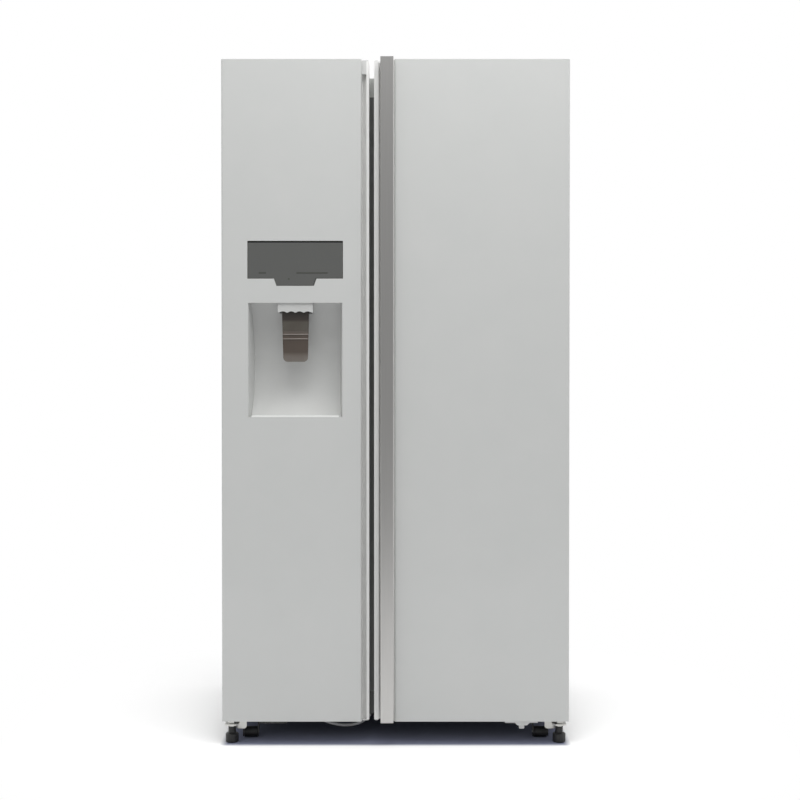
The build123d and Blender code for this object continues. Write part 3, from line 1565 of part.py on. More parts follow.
pieces = {
    "cabinet_wrapper": cabinet_wrapper.part,
    "back_panel": back_panel.part,
    "base_deck": base_deck.part,
    "cabinet_foam": cabinet_foam.part,
    "freezer_liner": freezer_liner.part,
    "fridge_liner": fridge_liner.part,
    "mullion_strip": mullion_strip.part,
    "top_hinges": top_hinges.part,
    "hinge_covers": hinge_covers.part,
    "bottom_hinges": bottom_hinges.part,
    "levelling_foot_left": levelling_foot_left.part,
    "levelling_foot_right": levelling_foot_right.part,
    "front_roller_left": front_roller_left.part,
    "front_roller_right": front_roller_right.part,
    "rear_roller_left": rear_roller_left.part,
    "rear_roller_right": rear_roller_right.part,
    "compressor": compressor.part,
    "compressor_grommets": compressor_grommets.part,
    "fan_shroud": fan_shroud.part,
    "condenser_fan": condenser_fan.part,
    "condenser": condenser.part,
    "drain_pan": drain_pan.part,
    "water_valve": water_valve.part,
    "machine_cover": machine_cover.part,
    "evaporator": evaporator.part,
    "evaporator_cover": evaporator_cover.part,
    "evaporator_fan": evaporator_fan.part,
    "freezer_shelves": freezer_shelves.part,
    "ice_bucket": ice_bucket.part,
    "ice_maker": ice_maker.part,
    "freezer_drawer_lower": freezer_drawer_lower,
    "freezer_drawer_upper": freezer_drawer_upper,
    "crisper_lower": crisper_lower,
    "crisper_upper": crisper_upper,
    "fridge_shelves": fridge_shelves.part,
    "air_duct": air_duct.part,
    "interior_lights": interior_lights.part,
    "wall_spacers": wall_spacers.part,
    "water_tube": water_tube.part,
    "freezer_door_skin": freezer_door_skin.part,
    "freezer_door_core": freezer_door_core.part,
    "freezer_door_liner": freezer_door_liner.part,
    "freezer_door_gasket": freezer_door_gasket.part,
    "freezer_door_caps": freezer_door_caps.part,
    "freezer_edge_trim": freezer_edge_trim.part,
    "freezer_door_bins": freezer_door_bins.part,
    "dispenser_housing": dispenser_housing.part,
    "dispenser_nozzle": dispenser_nozzle.part,
    "dispenser_lever": dispenser_lever.part,
    "drip_tray": drip_tray.part,
    "display_panel": display_panel.part,
    "control_module": control_module.part,
    "fridge_door_skin": fridge_door_skin.part,
    "fridge_door_core": fridge_door_core.part,
    "fridge_door_liner": fridge_door_liner.part,
    "fridge_door_gasket": fridge_door_gasket.part,
    "fridge_door_caps": fridge_door_caps.part,
    "fridge_edge_trim": fridge_edge_trim.part,
    "handle_bar": handle_bar.part,
    "fridge_door_bins": fridge_door_bins.part,
}
os.makedirs("parts", exist_ok=True)
for name, piece in pieces.items():
    piece.label = name
    export_step(piece, f"parts/{name}.step")
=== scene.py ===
"""Dresses a side by side refrigerator and adds its seals, water tube, trims, marks and fasteners.

Sizes of sub-assemblies are in millimetres, the studio's in metres.
"""

from __future__ import annotations

import logging
import math
from dataclasses import dataclass
from enum import Enum
from typing import Any

import bmesh
import bpy
from mathutils import Matrix, Vector

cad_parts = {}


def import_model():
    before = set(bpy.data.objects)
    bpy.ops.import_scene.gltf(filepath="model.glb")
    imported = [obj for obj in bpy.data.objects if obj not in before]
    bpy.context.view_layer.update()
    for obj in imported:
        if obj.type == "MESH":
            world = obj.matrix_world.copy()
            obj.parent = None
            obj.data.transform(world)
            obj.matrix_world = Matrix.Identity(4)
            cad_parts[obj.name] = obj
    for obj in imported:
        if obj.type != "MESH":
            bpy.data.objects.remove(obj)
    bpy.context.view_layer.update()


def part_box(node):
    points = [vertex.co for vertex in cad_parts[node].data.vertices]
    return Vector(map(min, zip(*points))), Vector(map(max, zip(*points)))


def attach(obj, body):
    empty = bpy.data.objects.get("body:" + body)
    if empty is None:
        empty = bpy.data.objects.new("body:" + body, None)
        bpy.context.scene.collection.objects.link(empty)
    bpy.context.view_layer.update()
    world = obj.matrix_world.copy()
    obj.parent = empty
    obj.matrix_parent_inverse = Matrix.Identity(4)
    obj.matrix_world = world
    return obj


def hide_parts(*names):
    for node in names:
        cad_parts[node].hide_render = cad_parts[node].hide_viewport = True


LOG = logging.getLogger("refrigerator")
MILLIMETRE = 0.001
WHITE = "#FFFFFF"
FORWARD = Vector((0.0, -1.0, 0.0))
BACKWARD = Vector((0.0, 1.0, 0.0))

# In millimetres: corners this close are one, and so are storeys.
MERGE_GAP = 0.002
STOREY_GAP = 0.01
# Steps of a rounded edge, a corner and a pipe's bend.
EDGE_STEPS = 3
CORNER_STEPS = 4
BEND_STEPS = 6
# A screw's flange and hexagon: sides, share of the radius and rise in radii. Both narrow by the taper.
SCREW_TIERS = ((18, 1.0, 0.22), (6, 0.62, 0.75))
SCREW_TAPER = 0.86
# How a finish varies: the share of its roughness, the grains in one slow drift, the stretch of brushed lines.
GLOSS_DRIFT = 0.12
DRIFT_GRAINS = 24
BRUSH_STRETCH = 0.012
COAT_ROUGHNESS = 0.08
# A wave texture of scale 1 repeats 20 times in a full turn's length.
WAVE_REPEATS = 20

Form = bmesh.types.BMesh
Corner = bmesh.types.BMVert
Edge = bmesh.types.BMEdge
Socket = bpy.types.NodeSocket
Tree = bpy.types.NodeTree
Span = tuple[float, float]
Triple = tuple[float, float, float]


def mm(value: float) -> float:
    """Turns millimetres into metres."""
    return value * MILLIMETRE


def place(x: float, y: float, z: float) -> Vector:
    """Turns a point in millimetres into metres."""
    return Vector((x, y, z)) * MILLIMETRE


def about(at: float, ends: Span) -> Span:
    """Moves a span in millimetres to a place in metres."""
    return at + mm(ends[0]), at + mm(ends[1])


def narrow(low: float, high: float, inset: float) -> Span:
    """Takes an inset in millimetres off both ends of a span in metres."""
    return low + mm(inset), high - mm(inset)


def linear(code: str) -> tuple[float, float, float, float]:
    """Turns an sRGB hex colour into linear light.

    Args:
        code: Six hex digits after a hash sign.

    Returns:
        Red, green, blue and an alpha of 1.
    """
    channels = [int(code[start : start + 2], 16) / 255 for start in (1, 3, 5)]
    red, green, blue = (c / 12.92 if c <= 0.04045 else ((c + 0.055) / 1.055) ** 2.4 for c in channels)
    return red, green, blue, 1.0


def add_node(
    tree: Tree, kind: str, inputs: dict[int | str, Any] | None = None, **settings: Any
) -> bpy.types.Node:
    """Adds a shader node with its settings, values and links.

    Args:
        tree: The tree that takes the node.
        kind: The node's type name, after ShaderNode.
        inputs: A value, or a socket to link from, for each input.
        **settings: The node's own properties.

    Returns:
        The new node.
    """
    made = tree.nodes.new(f"ShaderNode{kind}")
    for name, value in settings.items():
        setattr(made, name, value)
    for key, value in (inputs or {}).items():
        if isinstance(value, Socket):
            tree.links.new(value, made.inputs[key])
        else:
            made.inputs[key].default_value = value
    return made


def ramp(tree: Tree, value: Socket, start: Span, end: Span = (0.0, 1.0), **settings: Any) -> Socket:
    """Maps a value from the starting range to the end's."""
    ends = {"From Min": start[0], "From Max": start[1], "To Min": end[0], "To Max": end[1]}
    return add_node(tree, "MapRange", {"Value": value, **ends}, **settings).outputs["Result"]


def combine(tree: Tree, operation: str, first: Socket, second: Socket) -> Socket:
    """Joins two values by one operation."""
    return add_node(tree, "Math", {0: first, 1: second}, operation=operation).outputs["Value"]


def blend(tree: Tree, share: Socket, first: Any, second: Any) -> Socket:
    """Mixes two colours, or their sockets, by the second one's share of 0 to 1."""
    return add_node(tree, "Mix", {0: share, 6: first, 7: second}, data_type="RGBA").outputs[2]


class Pattern(Enum):
    """The marks that a way of making leaves on a surface."""

    PEEL = "the orange peel of sprayed and baked enamel"
    MOULD = "the fine spark-eroded grain of a moulding tool"
    BRUSH = "the upright lines of a brushed extrusion"
    SPANGLE = "the crystals of hot-dip zinc"
    CLOUD = "the faint clouds of bright plating"
    CELLS = "the cells of rigid foam"
    FLOW = "the slow waves of a clear moulding"
    FINS = "the stacked fins of a heat exchanger"
    RIBS = "the ribs of a light's lens"
    # Not a mark of making: colour bands by height that paint light and shade onto a surface.
    PAINTED_BANDS = "the bands of a smoked moulding, light where it thins"


# How fine the noise of each pattern is, and of the slow drift under all.
NOISE_DETAIL = {
    Pattern.PEEL: 1.5, Pattern.MOULD: 4.0, Pattern.BRUSH: 4.0, Pattern.CLOUD: 2.0, Pattern.FLOW: 0.0,
    Pattern.PAINTED_BANDS: 2.0,
}
DRIFT_DETAIL = 3.0


@dataclass(frozen=True)
class Finish:
    """One real material and how its surface was made.

    The grain is the pattern's size and the relief its depth, both in millimetres.
    """

    name: str
    slot: str
    colour: str
    shade: str
    pattern: Pattern
    grain: float
    relief: float
    roughness: float
    metallic: float = 0.0
    ior: float = 1.5
    coat: float = 0.0
    transmission: float = 0.0
    anisotropy: float = 0.0
    # Colours by height in millimetres: painted light and shade.
    bands: tuple[tuple[float, str], ...] = ()

    def material(self) -> bpy.types.Material:
        """Makes the material on first use.

        Returns:
            The material of this name.
        """
        known = bpy.data.materials.get(self.name)
        if known is not None:
            return known
        made = bpy.data.materials.new(self.name)
        made.use_nodes = True
        tree = made.node_tree
        tree.nodes.clear()
        where = add_node(tree, "TexCoord").outputs["Object"]
        height, tint = self.marks(tree, where)
        relief = {"Strength": 1.0, "Distance": mm(self.relief), "Height": height}
        bump = add_node(tree, "Bump", relief)
        gloss = (self.roughness * (1 - GLOSS_DRIFT), self.roughness * (1 + GLOSS_DRIFT))
        shader = add_node(
            tree,
            "BsdfPrincipled",
            {
                "Base Color": self.tone(tree, where, tint),
                "Roughness": ramp(tree, tint, (0.0, 1.0), gloss),
                "Normal": bump.outputs["Normal"],
                "Metallic": self.metallic,
                "IOR": self.ior,
                "Coat Weight": self.coat,
                "Coat Roughness": COAT_ROUGHNESS,
                "Transmission Weight": self.transmission,
                "Anisotropic": self.anisotropy,
            },
        )
        add_node(tree, "OutputMaterial", {"Surface": shader.outputs["BSDF"]})
        return made

    def tone(self, tree: Tree, where: Socket, tint: Socket) -> Socket:
        """Mixes the finish's colours.

        Args:
            tree: The material's tree.
            where: Object coordinates.
            tint: How much of the shade shows, 0 to 1.

        Returns:
            The colour socket.
        """
        base: Any = linear(self.colour)
        # Bands of colour by height: painted light and shade.
        if self.bands:
            low, high = self.bands[0][0], self.bands[-1][0]
            rise = add_node(tree, "SeparateXYZ", {"Vector": where}).outputs["Z"]
            along = ramp(tree, rise, (mm(low), mm(high)))
            scale = add_node(tree, "ValToRGB", {"Fac": along})
            stops = scale.color_ramp.elements
            while len(stops) < len(self.bands):
                stops.new(0.5)
            for stop, (level, code) in zip(stops, self.bands):
                stop.position = (level - low) / (high - low)
                stop.color = linear(code)
            base = scale.outputs["Color"]
        return blend(tree, tint, base, linear(self.shade))

    def marks(self, tree: Tree, where: Socket) -> tuple[Socket, Socket]:
        """Draws the pattern at its size.

        Args:
            tree: The material's tree.
            where: Object coordinates.

        Returns:
            The relief's height and the amount of shade.
        """
        scale = 1.0 / mm(self.grain)
        slow = {"Vector": where, "Scale": scale / DRIFT_GRAINS, "Detail": DRIFT_DETAIL}
        drift = add_node(tree, "TexNoise", slow).outputs["Fac"]
        if self.pattern in (Pattern.SPANGLE, Pattern.CELLS):
            cells = add_node(tree, "TexVoronoi", {"Vector": where, "Scale": scale})
            tone = add_node(tree, "SeparateColor", {"Color": cells.outputs["Color"]})
            return cells.outputs["Distance"], tone.outputs["Red"]
        if self.pattern in (Pattern.FINS, Pattern.RIBS):
            period = {"Vector": where, "Scale": math.tau / (WAVE_REPEATS * mm(self.grain))}
            wave = add_node(tree, "TexWave", period, bands_direction="X")
            return wave.outputs["Fac"], drift
        brushed = self.pattern is Pattern.BRUSH
        if brushed:
            stretch = {"Vector": where, "Scale": (1.0, 1.0, BRUSH_STRETCH)}
            where = add_node(tree, "Mapping", stretch).outputs["Vector"]
        fine = {"Vector": where, "Scale": scale, "Detail": NOISE_DETAIL[self.pattern]}
        grain = add_node(tree, "TexNoise", fine).outputs["Fac"]
        return grain, grain if brushed else drift


# Baked enamel on steel: a soft gloss that wavers. Its peel is drawn at 5 mm, where the real one has 1.5 mm.
ENAMEL = Finish(
    "baked white enamel", "white_enamel", "#D0D1CF", "#CBCDCB", Pattern.PEEL, 5.0, 0.012, 0.32, coat=0.25
)
# The same enamel in grey and duller, on the strip between the doors; its grey is painted shade of the deep
# gap there.
GAP_SHADE_ENAMEL = Finish(
    "baked grey enamel, painted gap shade", "white_enamel", "#868887", "#818382", Pattern.PEEL, 5.0, 0.012, 0.42, coat=0.1
)
# Hot-dip galvanised sheet: dull silver with a patchwork of crystals.
GALVANISED = Finish(
    "galvanised steel sheet", "galvanised_steel", "#B4B7B9", "#A6AAAD", Pattern.SPANGLE, 14.0, 0.01, 0.42,
    metallic=1.0,
)
# Bright zinc plating: clean grey-white metal with faint clouds.
ZINC = Finish(
    "bright zinc plate", "zinc_plated_steel", "#CFCFCC", "#BDBCB8", Pattern.CLOUD, 6.0, 0.01, 0.3,
    metallic=1.0,
)
# Rigid polyurethane foam: matt cream with closed cells, drawn at 2 mm where the real ones are 0.3 mm.
FOAM = Finish("polyurethane foam", "insulation_foam", "#EBD9A8", "#DCC78F", Pattern.CELLS, 2.0, 0.25, 0.9)
# Thermoformed polystyrene: glossy, clean white, with the slight waviness of a drawn sheet.
LINER = Finish(
    "thermoformed polystyrene", "white_liner", "#EDEEEC", "#E6E8E6", Pattern.FLOW, 18.0, 0.03, 0.26, ior=1.59
)
# Moulded ABS with a fine tool grain, drawn at 1.5 mm so that it shows: pale and even. Its colour is raised
# near white so that the edge trims read bright in the shade of their groove: painted light.
LIGHTENED_TRIM_ABS = Finish(
    "light grey ABS", "light_grey_trim", "#F6F6F4", "#EDEDEB", Pattern.MOULD, 1.5, 0.02, 0.46, ior=1.53
)
# The same resin in white, a little glossier.
WHITE_ABS = Finish(
    "white ABS", "white_moulding", "#D6D7D5", "#CFD0CE", Pattern.MOULD, 1.8, 0.015, 0.36, ior=1.53
)
# The same again, duller and darker, in the dispenser's recess; the darker colour is painted shade of the
# recess.
RECESS_SHADE_ABS = Finish(
    "white ABS, painted recess shade", "white_moulding", "#CBCCCA", "#C4C5C3", Pattern.MOULD, 1.8, 0.02, 0.5, ior=1.53
)
# And brighter, for the tray that lifts out; the brighter colour is a painted highlight along the recess's
# lower edge.
TRAY_HIGHLIGHT_ABS = Finish(
    "white ABS, painted highlight", "white_moulding", "#F7F8F6", "#F0F1EF", Pattern.MOULD, 1.8, 0.015, 0.4, ior=1.53
)
# Satin anodised extrusion: upright brushed lines that spread the reflections sideways.
SATIN = Finish(
    "satin anodised aluminium", "satin_aluminium", "#CBCAC8", "#BEBDBB", Pattern.BRUSH, 1.2, 0.004, 0.34,
    metallic=1.0, anisotropy=0.35,
)
# Bare aluminium fins, 1.6 mm apart, drawn at 5 mm so that they show.
FINS = Finish(
    "aluminium fin pack", "coil_aluminium", "#C4C6C8", "#A3A6A9", Pattern.FINS, 5.0, 1.2, 0.4, metallic=1.0
)
# Smoked acrylic over a dark print: deep grey with a clear gloss.
DISPLAY = Finish(
    "smoked acrylic", "smoked_display", "#626361", "#5C5D5B", Pattern.FLOW, 30.0, 0.01, 0.12, ior=1.49
)
# Print behind the acrylic: hardly darker than its ground.
PRINT = Finish(
    "faint display print", "smoked_display", "#4F504C", "#4A4B47", Pattern.MOULD, 2.0, 0.005, 0.2, ior=1.49
)
# Near-black ring round the acrylic's edges: painted shadow of the panel's edge, widest along its top.
SHADOW = Finish(
    "painted shadow round the display", "smoked_display", "#191A1A", "#141515", Pattern.MOULD, 2.0, 0.005, 0.24, ior=1.49
)
# Smoked polycarbonate, banded in colour by height: a painted shadow black under the nozzle, its own brown
# below it, and painted light where it is paler.
SMOKED_LIGHT_AND_SHADE = Finish(
    "smoked polycarbonate", "smoked_lever", "#50463F", "#463D37", Pattern.PAINTED_BANDS, 3.0, 0.01, 0.18, ior=1.58,
    bands=(
        (999.0, "#9A958E"), (1014.0, "#857E76"), (1024.0, "#5A5048"), (1050.0, "#584E46"),
        (1058.0, "#665B53"), (1068.0, "#6A6058"), (1076.0, "#5A544D"), (1084.0, "#62625A"),
        (1102.0, "#5E5E56"), (1108.0, "#1E1E1D"), (1140.0, "#181817"),
    ),
)
# Lighter colour on the moulded ridges of the lever: a painted highlight.
SMOKED_HIGHLIGHT = Finish(
    "painted highlight of the lever's ridges", "smoked_lever", "#8C847D", "#7E766F", Pattern.MOULD, 2.0, 0.01, 0.16,
    ior=1.58,
)
# Moulded black nylon: almost black, with a dull shine on its corners.
BLACK = Finish("black nylon", "black_plastic", "#1B1B1C", "#141415", Pattern.MOULD, 1.5, 0.03, 0.5, ior=1.53)
# Black stoved enamel over pressed steel.
POT_BLACK = Finish(
    "black stoving enamel", "black_enamel", "#191919", "#121212", Pattern.PEEL, 4.0, 0.02, 0.28, coat=0.4
)
# Soft PVC of the door seals: greyish white and matt.
SEAL = Finish("soft PVC seal", "seal_rubber", "#CFCFCB", "#C3C3BF", Pattern.MOULD, 1.5, 0.02, 0.62, ior=1.53)
# Black rubber with a bloom.
RUBBER = Finish(
    "black rubber", "grommet_rubber", "#1E1E1E", "#2A2A29", Pattern.CLOUD, 4.0, 0.05, 0.72, ior=1.52
)
# Clear polystyrene: water-clear walls, slightly blue on edge.
CLEAR = Finish(
    "clear polystyrene", "clear_tub", "#EDF4F7", "#E6EFF3", Pattern.FLOW, 25.0, 0.03, 0.07,
    ior=1.59, transmission=0.9,
)
# Tempered float glass with a green cast.
GLASS = Finish(
    "tempered glass", "shelf_glass", "#E3F0EB", "#DDECE6", Pattern.FLOW, 60.0, 0.01, 0.03,
    ior=1.52, transmission=0.95,
)
# Frosted acrylic with moulded ribs.
LENS = Finish(
    "frosted acrylic lens", "light_lens", "#F5F5F0", "#EDEDE8", Pattern.RIBS, 6.0, 0.5, 0.45,
    ior=1.49, transmission=0.25,
)
# Polyethylene tube: waxy light grey.
TUBE = Finish(
    "grey polyethylene tube", "grey_tube", "#C2C3C4", "#B3B4B6", Pattern.FLOW, 8.0, 0.05, 0.4, ior=1.51
)
# Natural nylon: warm white.
NYLON = Finish("natural nylon", "valve_nylon", "#DEDCD2", "#D3D0C4", Pattern.MOULD, 1.5, 0.03, 0.5, ior=1.53)
# Drawn copper pipe, slightly tarnished.
COPPER = Finish(
    "drawn copper", "coil_aluminium", "#C98A66", "#A86B4A", Pattern.CLOUD, 5.0, 0.02, 0.32, metallic=1.0
)


def show(made: bpy.types.Object) -> None:
    """Puts an object in the scene."""
    bpy.context.scene.collection.objects.link(made)


def only(kind: type, items: list[Any]) -> list[Any]:
    """Picks one kind of element from what an operation made."""
    return [item for item in items if isinstance(item, kind)]


def upright(at: Vector, facing: Vector) -> Matrix:
    """Turns the Z axis to face one way, at one point."""
    return Matrix.Translation(at) @ facing.to_track_quat("Z", "Y").to_matrix().to_4x4()


def soften(form: Form, items: list[Any], radius: float, steps: int, affect: str) -> None:
    """Rounds EDGES, or the VERTICES of an outline, by a radius in metres."""
    rounding = {"offset": radius, "segments": steps, "profile": 0.5, "clamp_overlap": True}
    bmesh.ops.bevel(form, geom=items, affect=affect, material=-1, **rounding)


def thicken(form: Form, faces: list[bmesh.types.BMFace], depth: Vector) -> list[Corner]:
    """Gives flat faces a thickness.

    Args:
        form: The mesh that holds them.
        faces: The faces of the near side.
        depth: From the near side to the far side.

    Returns:
        The far side's corners.
    """
    far = only(Corner, bmesh.ops.extrude_face_region(form, geom=faces, use_keep_orig=True)["geom"])
    bmesh.ops.translate(form, vec=depth, verts=far)
    return far


def block(form: Form, x: Span, y: Span, z: Span, radius: float) -> None:
    """Adds a block with rounded edges.

    Args:
        form: The mesh that takes it.
        x: Its left and right side.
        y: Its front and back.
        z: Its lower and upper face.
        radius: The edges' radius in metres.
    """
    low, high = (Vector(corner) for corner in zip(x, y, z))
    points = bmesh.ops.create_cube(form, size=1.0)["verts"]
    bmesh.ops.scale(form, vec=high - low, verts=points)
    bmesh.ops.translate(form, vec=(low + high) / 2, verts=points)
    edges = list({edge for point in points for edge in point.link_edges})
    soften(form, edges, radius, EDGE_STEPS, "EDGES")


@dataclass(frozen=True)
class Box:
    """A block with rounded edges, in millimetres from a point."""

    x: Span
    y: Span
    z: Span
    rounding: float

    def add(self, form: Form, at: Vector) -> None:
        """Adds the block to a mesh, with its sizes from one point."""
        block(form, about(at.x, self.x), about(at.y, self.y), about(at.z, self.z), mm(self.rounding))


def prism(form: Form, outline: list[Vector], depth: Vector, corner: float) -> None:
    """Adds a flat plate with rounded corners.

    Args:
        form: The mesh that takes it.
        outline: The corners in order.
        depth: From the drawn face to the other one.
        corner: The corners' radius in metres.
    """
    known = set(form.faces)
    points = [form.verts.new(point) for point in outline]
    form.faces.new(points)
    soften(form, points, corner, CORNER_STEPS, "VERTICES")
    thicken(form, [face for face in form.faces if face not in known], depth)


def screw(form: Form, at: Vector, facing: Vector, radius: float) -> None:
    """Adds a hexagon screw head with its washer flange.

    Args:
        form: The mesh that takes it.
        at: The point on the sheet under the head.
        facing: The way that the head faces.
        radius: The flange's radius in metres.
    """
    turn = upright(at, facing)
    taper = Vector.Fill(3, SCREW_TAPER)
    for sides, share, rise in SCREW_TIERS:
        size = {"radius": radius * share, "segments": sides}
        ring = bmesh.ops.create_circle(form, cap_ends=True, matrix=turn, **size)["verts"]
        base = list({face for point in ring for face in point.link_faces})
        lift = facing * radius * rise
        top = thicken(form, base, lift)
        bmesh.ops.scale(form, vec=taper, space=Matrix.Translation(-(at + lift)), verts=top)


def lathe(form: Form, centre: Vector, profile: list[Span], corner: float, steps: int) -> None:
    """Turns a half profile about an upright axis.

    Args:
        form: The mesh that takes the turned shape.
        centre: The axis's foot.
        profile: Radius and height of each corner, in metres, from the axis and back to it.
        corner: The radius of the corners in between, in metres.
        steps: The sides of a full turn.
    """
    points = [form.verts.new(centre + Vector((radius, 0.0, height))) for radius, height in profile]
    for pair in zip(points, points[1:]):
        form.edges.new(pair)
    soften(form, points[1:-1], corner, CORNER_STEPS, "VERTICES")
    loose = [edge for edge in form.edges if edge.is_wire]
    ends = list({point for edge in loose for point in edge.verts})
    way = {"cent": centre, "axis": (0, 0, 1), "dvec": (0, 0, 0), "angle": math.tau}
    bmesh.ops.spin(form, geom=ends + loose, steps=steps, use_merge=True, **way)


def pipe(form: Form, route: list[Vector], radius: float, bend: float, sides: int = 12) -> None:
    """Adds a bent pipe or wire with closed ends.

    Args:
        form: The mesh that takes it.
        route: The corners of its line.
        radius: The pipe's radius in metres.
        bend: The radius of its bends in metres.
        sides: The sides of its section.
    """
    run = (route[1] - route[0]).normalized()
    turn = upright(route[0], run)
    ring = bmesh.ops.create_circle(form, cap_ends=True, radius=radius, segments=sides, matrix=turn)["verts"]
    edges = list({edge for point in ring for edge in point.link_edges})
    at = route[0]
    for corner, after in zip(route[1:], route[2:] + [None]):
        reach = corner
        angle = 0.0
        if after is not None:
            following = (after - corner).normalized()
            angle = run.angle(following)
            reach = corner - run * bend * math.tan(angle / 2)
        grown = bmesh.ops.extrude_edge_only(form, edges=edges)["geom"]
        points = only(Corner, grown)
        edges = only(Edge, grown)
        bmesh.ops.translate(form, vec=reach - at, verts=points)
        if after is not None:
            axis = run.cross(following).normalized()
            centre = reach + axis.cross(run) * bend
            way = {"cent": centre, "axis": axis, "dvec": (0, 0, 0), "angle": angle}
            turned = bmesh.ops.spin(form, geom=points + edges, steps=BEND_STEPS, **way)
            edges = only(Edge, turned["geom_last"])
            at = corner + following * bend * math.tan(angle / 2)
            run = following
    bmesh.ops.contextual_create(form, geom=edges)


def storeys(node: str) -> list[Span]:
    """Finds the height ranges of the solids that are stacked in one CAD node.

    Args:
        node: The node's name.

    Returns:
        Lowest and highest level of each solid, in metres, from the bottom up.
    """
    mesh = bpy.data.objects[node].data
    levels = ([mesh.vertices[index].co.z for index in face.vertices] for face in mesh.polygons)
    merged: list[list[float]] = []
    for low, high in sorted((min(heights), max(heights)) for heights in levels):
        if merged and low <= merged[-1][1] + mm(STOREY_GAP):
            merged[-1][1] = max(merged[-1][1], high)
        else:
            merged.append([low, high])
    return [(low, high) for low, high in merged]


def dress(finish: Finish, *nodes: str) -> None:
    """Gives CAD nodes a finish.

    Args:
        finish: The finish that they take.
        *nodes: The nodes' names.
    """
    for node in nodes:
        mesh = bpy.data.objects[node].data
        mesh.materials.clear()
        mesh.materials.append(finish.material())
        LOG.info("dressed %s in %s", node, finish.name)


def piece(name: str, form: Form, finish: Finish, body: str, sharp: float = 38.0) -> bpy.types.Object:
    """Makes a finished mesh a piece of the model.

    Args:
        name: The piece's name.
        form: Its mesh, which is used up.
        finish: The finish that it takes.
        body: The CAD body that it rides on.
        sharp: Edges that turn by more than these degrees stay sharp.

    Returns:
        The new object.
    """
    bmesh.ops.remove_doubles(form, verts=form.verts[:], dist=mm(MERGE_GAP))
    bmesh.ops.recalc_face_normals(form, faces=form.faces[:])
    mesh = bpy.data.meshes.new(name)
    form.to_mesh(mesh)
    form.free()
    mesh.shade_smooth()
    mesh.set_sharp_from_angle(angle=math.radians(sharp))
    mesh.materials.append(finish.material())
    made = bpy.data.objects.new(name, mesh)
    show(made)
    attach(made, body)
    LOG.info("built %s on %s, %d faces", name, body, len(mesh.polygons))
    return made


@dataclass
class Cabinet:
    """The insulated case with its back, hinges and fasteners."""

    screw_radius: float = 5.5
    screw_pitch: float = 236.0
    edge_inset: float = 9.0
    cover_shares: tuple[float, ...] = (0.0, 0.33, 0.67, 1.0)
    flange_thickness: float = 4.0
    flange_offsets: Span = (8.0, 28.0)
    flange_level: float = 76.0

    def build(self) -> None:
        """Dresses the case and adds its screws."""
        dress(ENAMEL, "cabinet_wrapper")
        # The strip between the doors takes grey enamel: painted shade in the gap.
        dress(GAP_SHADE_ENAMEL, "mullion_strip")
        dress(GALVANISED, "back_panel", "machine_cover")
        # The deck is dressed in black enamel so that the space under the cabinet reads dark: partly the
        # deck's own colour and partly painted shade.
        dress(POT_BLACK, "base_deck")
        dress(FOAM, "cabinet_foam")
        dress(LINER, "freezer_liner", "fridge_liner")
        dress(ZINC, "top_hinges", "bottom_hinges")
        dress(WHITE_ABS, "hinge_covers")
        dress(BLACK, "wall_spacers")
        self.back_screws()
        self.hinge_screws()

    def back_screws(self) -> None:
        """Screws round the edges of the back panel and the machine room's cover."""
        form = bmesh.new()
        radius = mm(self.screw_radius)
        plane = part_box("machine_cover")[1].y
        low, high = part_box("back_panel")
        bottom, top = narrow(low.z, high.z, self.edge_inset)
        count = round((top - bottom) / mm(self.screw_pitch))
        for step in range(count + 1):
            level = bottom + (top - bottom) * step / count
            for x in narrow(low.x, high.x, self.edge_inset):
                screw(form, Vector((x, plane, level)), BACKWARD, radius)
        low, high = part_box("machine_cover")
        left, right = narrow(low.x, high.x, self.edge_inset)
        level = high.z - mm(self.edge_inset)
        for share in self.cover_shares:
            screw(form, Vector((left + (right - left) * share, plane, level)), BACKWARD, radius)
        piece("back_screws", form, ZINC, "cabinet")

    def hinge_screws(self) -> None:
        """Screws through the flanges of the bottom hinges."""
        form = bmesh.new()
        low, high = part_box("bottom_hinges")
        face = high.y - mm(self.flange_thickness)
        for side, edge in ((1, low.x), (-1, high.x)):
            for offset in self.flange_offsets:
                at = Vector((edge + side * mm(offset), face, mm(self.flange_level)))
                screw(form, at, FORWARD, mm(self.screw_radius))
        piece("hinge_screws", form, ZINC, "cabinet")


